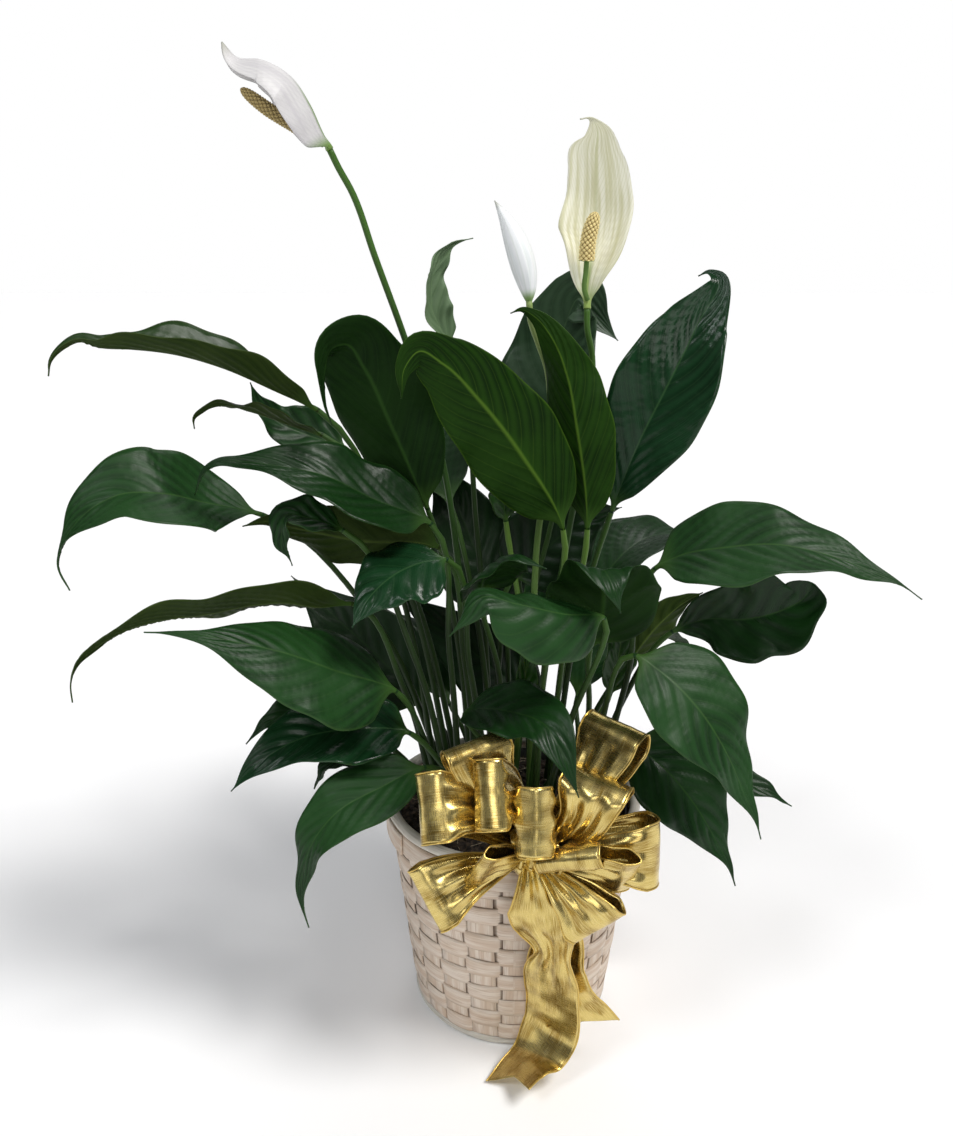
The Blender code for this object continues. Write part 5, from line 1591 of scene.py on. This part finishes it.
class Bow:
    """The gold ribbon, its edge wires and its pick.

    The turns are the places that a loop's line goes through, in its two half sizes. Each length of ribbon
    has a seed of its own: loops count from 1, and the ends and the knot from the seeds below.
    """

    turns = ((0.35, 0.9), (-0.6, 0.8), (-1.0, 0.0), (-0.6, -0.8), (0.35, -0.9))
    tail_seed = 20
    knot_seed = 40

    def __init__(self, size: RibbonSize) -> None:
        """Keeps the sizes and starts an empty measure of the ribbon's length."""
        self.size = size
        self.length = 0.0
        self.bands: list[Patch] = []
        self.wires: list[Patch] = []

    def loop_path(self, loop: Loop) -> np.ndarray:
        """Returns a loop's line: out from the knot, round its tube and back."""
        knot = np.array(self.size.knot)
        middle = knot + np.array(loop.middle, float)
        axis = unit(loop.axis)
        inward = knot - middle
        inward = unit(inward - np.dot(inward, axis) * axis)
        aside = np.cross(axis, inward)
        around = [middle + a * loop.length_half * inward + b * loop.open_half * aside for a, b in self.turns]
        return smooth_path([knot, *around, knot])

    def band(self, centres: np.ndarray, widths: np.ndarray, share: np.ndarray, seed: int,
             reach: np.ndarray) -> None:
        """Adds a length of ribbon and the wires in its two edges.

        Where the ribbon is gathered to a share g of its width, pleats take up the rest: a triangle wave
        with the size's count of pleats and the height width sqrt(1 - g^2) / (4 count). Fine crinkles lie
        along the run and shallow dents across it, so their fields are read at points squeezed one way or
        the other.

        Args:
            centres: Points along the ribbon's middle.
            widths: Which way the width runs at each.
            share: How much of its width the ribbon keeps at each.
            seed: Seed of the crinkles.
            reach: How far each column's rows run on past the end, which cuts the end to shape.
        """
        size = self.size
        half_width = size.width / 2
        tangents = tangents_of(centres)
        widths = unit(widths - np.sum(widths * tangents, axis=1, keepdims=True) * tangents)
        normals = np.cross(tangents, widths)
        v = np.linspace(-1, 1, size.columns)
        run = runs_of(centres)
        self.length += float(run[-1])
        fold = np.sqrt(np.clip(1 - share ** 2, 0, 1))[:, None] * size.width / (4 * size.pleats)
        wave = 2 / math.pi * np.arcsin(0.96 * np.sin(math.pi * size.pleats * (v[None] + 0.03 * seed)))
        flat = stacked(run[:, None] * 0.22, half_width * v, 70.0 * seed)
        dents = stacked(run[:, None], 6.0 * v, 70.0 * seed)
        crinkle = 0.1 * wander(flat, 9.0, seed) + 0.4 * wander(dents, 15.0, seed + 50)
        calm = eased(share, 0.2, 0.7)[:, None]
        lift = fold * wave + crinkle * (0.4 + 0.6 * calm) * (1 - 0.3 * v[None] ** 2)
        middle = (centres[:, None] + half_width * share[:, None, None] * v[None, :, None] * widths[:, None]
                  + lift[..., None] * normals[:, None] + reach[..., None] * tangents[:, None])
        grid = two_faced(middle, size.thickness / 2 * self.skin_normals(middle, normals))
        values = stacked(run[:, None], two_faced(v[None]) * half_width, float(seed))
        self.bands.append(grid_patch(grid, values))
        for column in (0, -1):
            self.wires.append(tube_patch(middle[:, column], size.wire, size.wire_around))

    def skin_normals(self, middle: np.ndarray, normals: np.ndarray) -> np.ndarray:
        """Returns unit normals of a grid from its own slopes, on the side of the given normals."""
        along_run = np.gradient(middle, axis=0)
        across = np.gradient(middle, axis=1)
        made = unit(np.cross(along_run, across))
        side = np.sign(np.sum(made * normals[:, None], axis=2, keepdims=True))
        return made * np.where(side == 0, 1, side)

    def add_loop(self, loop: Loop, seed: int) -> None:
        """Adds one loop of ribbon."""
        size = self.size
        path = self.loop_path(loop)
        inset = size.loop_inset / run_length(path)
        t = np.linspace(inset, 1 - inset, size.loop_rows)
        share = np.clip(size.spread * np.minimum(t, 1 - t), size.gathered_share, 1)
        widths = np.broadcast_to(unit(loop.axis), (len(t), 3))
        self.band(along(path, t), widths, share, seed, np.zeros((len(t), size.columns)))

    def add_tail(self, tail: Tail, seed: int) -> None:
        """Adds one ribbon end, whose last rows run back by the notch's or the slant's depth."""
        size = self.size
        s = np.linspace(0, 1, size.tail_rows)
        keys = np.linspace(0, 1, len(tail.widths))
        widths = np.stack([np.interp(s, keys, part) for part in np.array(tail.widths).T], 1)
        share = np.clip(size.tail_gathered + tail.spread * s, 0, 1)
        share = share - tail.pinch * np.exp(-((s - size.pinch_place) / size.pinch_spread) ** 2)
        v = np.linspace(-1, 1, size.columns)
        depth = tail.notch * (1 - np.abs(v)) + tail.slant * (1 - v) / 2
        cut = np.clip((s - size.cut_from) / (1 - size.cut_from), 0, 1)[:, None] ** size.cut_power
        self.band(along(smooth_path(tail.path), s), widths, share, seed, -depth[None] * cut)

    def add_knot(self) -> None:
        """Adds the turn of ribbon that binds the knot."""
        size = self.size
        turn = np.linspace(-0.6, 2 * math.pi - 0.3, size.knot_rows)
        round_knot = stacked(0.15 * np.sin(turn), -np.cos(turn), np.sin(turn))
        centres = np.array(size.knot) + (size.knot_radius - size.knot_inset) * round_knot
        widths = np.broadcast_to(unit((1.0, 0.1, 0.15)), centres.shape)
        share = np.full(len(turn), size.knot_gathered)
        self.band(centres, widths, share, self.knot_seed, np.zeros((len(turn), size.columns)))

    def pick(self) -> Patch:
        """Makes the wire pick, which goes from behind the knot over the rim and into the soil."""
        size = self.size
        start = np.array(size.knot) + (0, size.knot_radius + 0.35, -1)
        line = smooth_path([start, *size.pick])
        curve = np.vstack([along(line, np.linspace(0, 1, size.pick_rows)), [size.pick_end]])
        return tube_patch(curve, size.pick_radius, size.pick_around)

    def gold(self) -> bpy.types.Material:
        """Makes the gold lame: a metal whose sheen breaks up along threads that run across the ribbon.

        Its three noises differ in how they are stretched along and across the ribbon, and in detail. Broad
        dark patches laid over the crease noise are painted reflections of dark surroundings.
        """
        shader = Shader("gold_lame", seen(218, 196, 128), 0.3, 0.96)
        run, across, seed = shader.surface_values()
        thread, crease_and_reflection, weft = (
            shader.noise(shader.stretched((run, length), (across, width), seed), 1.0, detail)
            for length, width, detail in ((0.1, 2.6, 3.0), (0.06, 0.1, 1.0), (3.2, 0.16, 2.0)))
        # Painted reflection: broad dark gold patches stand in for dark surroundings mirrored in the metal.
        painted_reflection = shader.mix(shader.ease(crease_and_reflection, 0.34, 0.62), seen(150, 120, 46), seen(212, 188, 112))
        colour = shader.mix(shader.ease(thread, 0.35, 0.8), painted_reflection, seen(236, 216, 150))
        shader.put("Base Color", colour)
        shader.put("Roughness", shader.ease(weft, 0.3, 0.7, 0.22, 0.32))
        shader.bump(shader.total((crease_and_reflection, 1.0), (thread, 0.07), (weft, 0.05)), 0.3, 1.0)
        return shader.material

    def build(self) -> None:
        for seed, loop in enumerate(LOOPS, 1):
            self.add_loop(loop, seed)
        for seed, tail in enumerate(TAILS, self.tail_seed):
            self.add_tail(tail, seed)
        self.add_knot()
        gold = self.gold()
        wire = Shader("edge_wire", seen(214, 184, 104), 0.3, 0.9).material
        green = Shader("pick_green", seen(38, 84, 46), 0.45).material
        ribbon = build_piece("bow_ribbon_lame", joined(self.bands), [gold], ("bow_ribbon",))
        edges = build_piece("bow_ribbon_wires", joined(self.wires), [wire], ("bow_ribbon",))
        build_piece("bow_pick_wire", self.pick(), [green], ("bow_pick",))
        log.info("ribbon: %.0f by %.0f mm", self.size.width, self.length)


@dataclass(frozen=True)
class Lamp:
    """A sun that shines from its place to the origin: its disk's width in degrees, its power and colour."""

    name: str
    place: Triple
    size: float
    power: float
    colour: Triple = (1.0, 1.0, 1.0)


class Studio:
    """The floor, the soft light and the camera.

    The world's light goes from its front colour to its back colour while the direction's Y goes from the
    first of its turns to the second. The camera alone sees the backdrop's colour.
    """

    lamps = (
        Lamp("key_sun", (1.9, -1.1, 3.3), 20.0, 2.3, (1.0, 0.985, 0.96)),
        Lamp("side_sun", (-1.0, -1.0, 1.9), 15.0, 0.58, (0.94, 0.975, 1.0)),
        Lamp("front_sun", (0.15, -1.9, 0.95), 26.0, 0.5, (1.0, 0.99, 0.97)),
        Lamp("back_sun", (0.3, 1.6, 1.7), 24.0, 0.25),
    )
    floor_reach = 30.0
    camera_place = (-0.024, -0.564, 0.474)
    camera_tilt = 73.0
    lens = 30.26
    sensor_width = 36.0
    nearest = 0.02
    world_turns = (-0.9, 0.4)
    world_front = (0.095, 0.1, 0.105)
    world_back = (0.25, 0.25, 0.26)
    backdrop = (1.0, 1.0, 1.0)

    def build_floor(self) -> None:
        """Lays a wide pale floor under the object."""
        mesh = bpy.data.meshes.new("studio_floor")
        reach = self.floor_reach
        mesh.from_pydata([(-reach, -reach, 0), (reach, -reach, 0), (reach, reach, 0), (-reach, reach, 0)],
                         [], [(0, 1, 2, 3)])
        mesh.materials.append(Shader("floor_paper", seen(253, 253, 254), 0.9).material)
        floor = bpy.data.objects.new("studio_floor", mesh)
        bpy.context.scene.collection.objects.link(floor)

    def build_lamps(self) -> None:
        """Sets up the lamps, each a sun whose disk is as wide as its size in degrees."""
        for lamp in self.lamps:
            data = bpy.data.lights.new(lamp.name, "SUN")
            data.angle = math.radians(lamp.size)
            data.energy = lamp.power
            data.color = lamp.colour
            thing = bpy.data.objects.new(lamp.name, data)
            back = unit(lamp.place)
            tilt, turn = math.acos(back[2]), math.atan2(back[1], back[0]) + math.pi / 2
            thing.location = lamp.place
            thing.rotation_euler = (tilt, 0, turn)
            bpy.context.scene.collection.objects.link(thing)

    def build_world(self) -> None:
        """Makes a white backdrop that lights the plant dimly, and more from behind than from the front."""
        world = bpy.data.worlds.new("studio_world")
        world.use_nodes = True
        nodes, links = world.node_tree.nodes, world.node_tree.links
        place = nodes.new("ShaderNodeTexCoord")
        parts = nodes.new("ShaderNodeSeparateXYZ")
        links.new(place.outputs["Generated"], parts.inputs[0])
        spread = nodes.new("ShaderNodeMapRange")
        spread.interpolation_type = "SMOOTHSTEP"
        spread.inputs["From Min"].default_value, spread.inputs["From Max"].default_value = self.world_turns
        links.new(parts.outputs["Y"], spread.inputs["Value"])
        blend = nodes.new("ShaderNodeMix")
        blend.data_type = "RGBA"
        links.new(spread.outputs["Result"], blend.inputs[0])
        blend.inputs[6].default_value = (*self.world_front, 1)
        blend.inputs[7].default_value = (*self.world_back, 1)
        path = nodes.new("ShaderNodeLightPath")
        paper = nodes.new("ShaderNodeMix")
        paper.data_type = "RGBA"
        links.new(path.outputs["Is Camera Ray"], paper.inputs[0])
        links.new(blend.outputs[2], paper.inputs[6])
        paper.inputs[7].default_value = (*self.backdrop, 1)
        links.new(paper.outputs[2], nodes["Background"].inputs["Color"])
        nodes["Background"].inputs["Strength"].default_value = 1.0
        bpy.context.scene.world = world

    def build_camera(self) -> None:
        """Stands the camera where the photo was taken from."""
        data = bpy.data.cameras.new("photo_camera")
        data.lens = self.lens
        data.sensor_width = self.sensor_width
        data.clip_start = self.nearest
        camera = bpy.data.objects.new("photo_camera", data)
        camera.location = self.camera_place
        camera.rotation_euler = (math.radians(self.camera_tilt), 0, 0)
        bpy.context.scene.collection.objects.link(camera)
        bpy.context.scene.camera = camera

    def build(self) -> None:
        """Sets up the whole studio."""
        self.build_floor()
        self.build_lamps()
        self.build_world()
        self.build_camera()
        bpy.context.scene.view_settings.view_transform = "Standard"


def main() -> None:
    """Builds the looks round the frame."""
    logging.basicConfig(level=logging.INFO, format="%(name)s: %(message)s")
    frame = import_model()
    stance = Stance()
    basket = BasketSize()
    Foliage(frame, stance, Blade()).build()
    Flowers(frame, stance, FlowerSize()).build()
    Basket(basket).build()
    Filling(basket, FillingSize()).build()
    Bow(RibbonSize()).build()
    Studio().build()


if __name__ == "__main__":
    main()
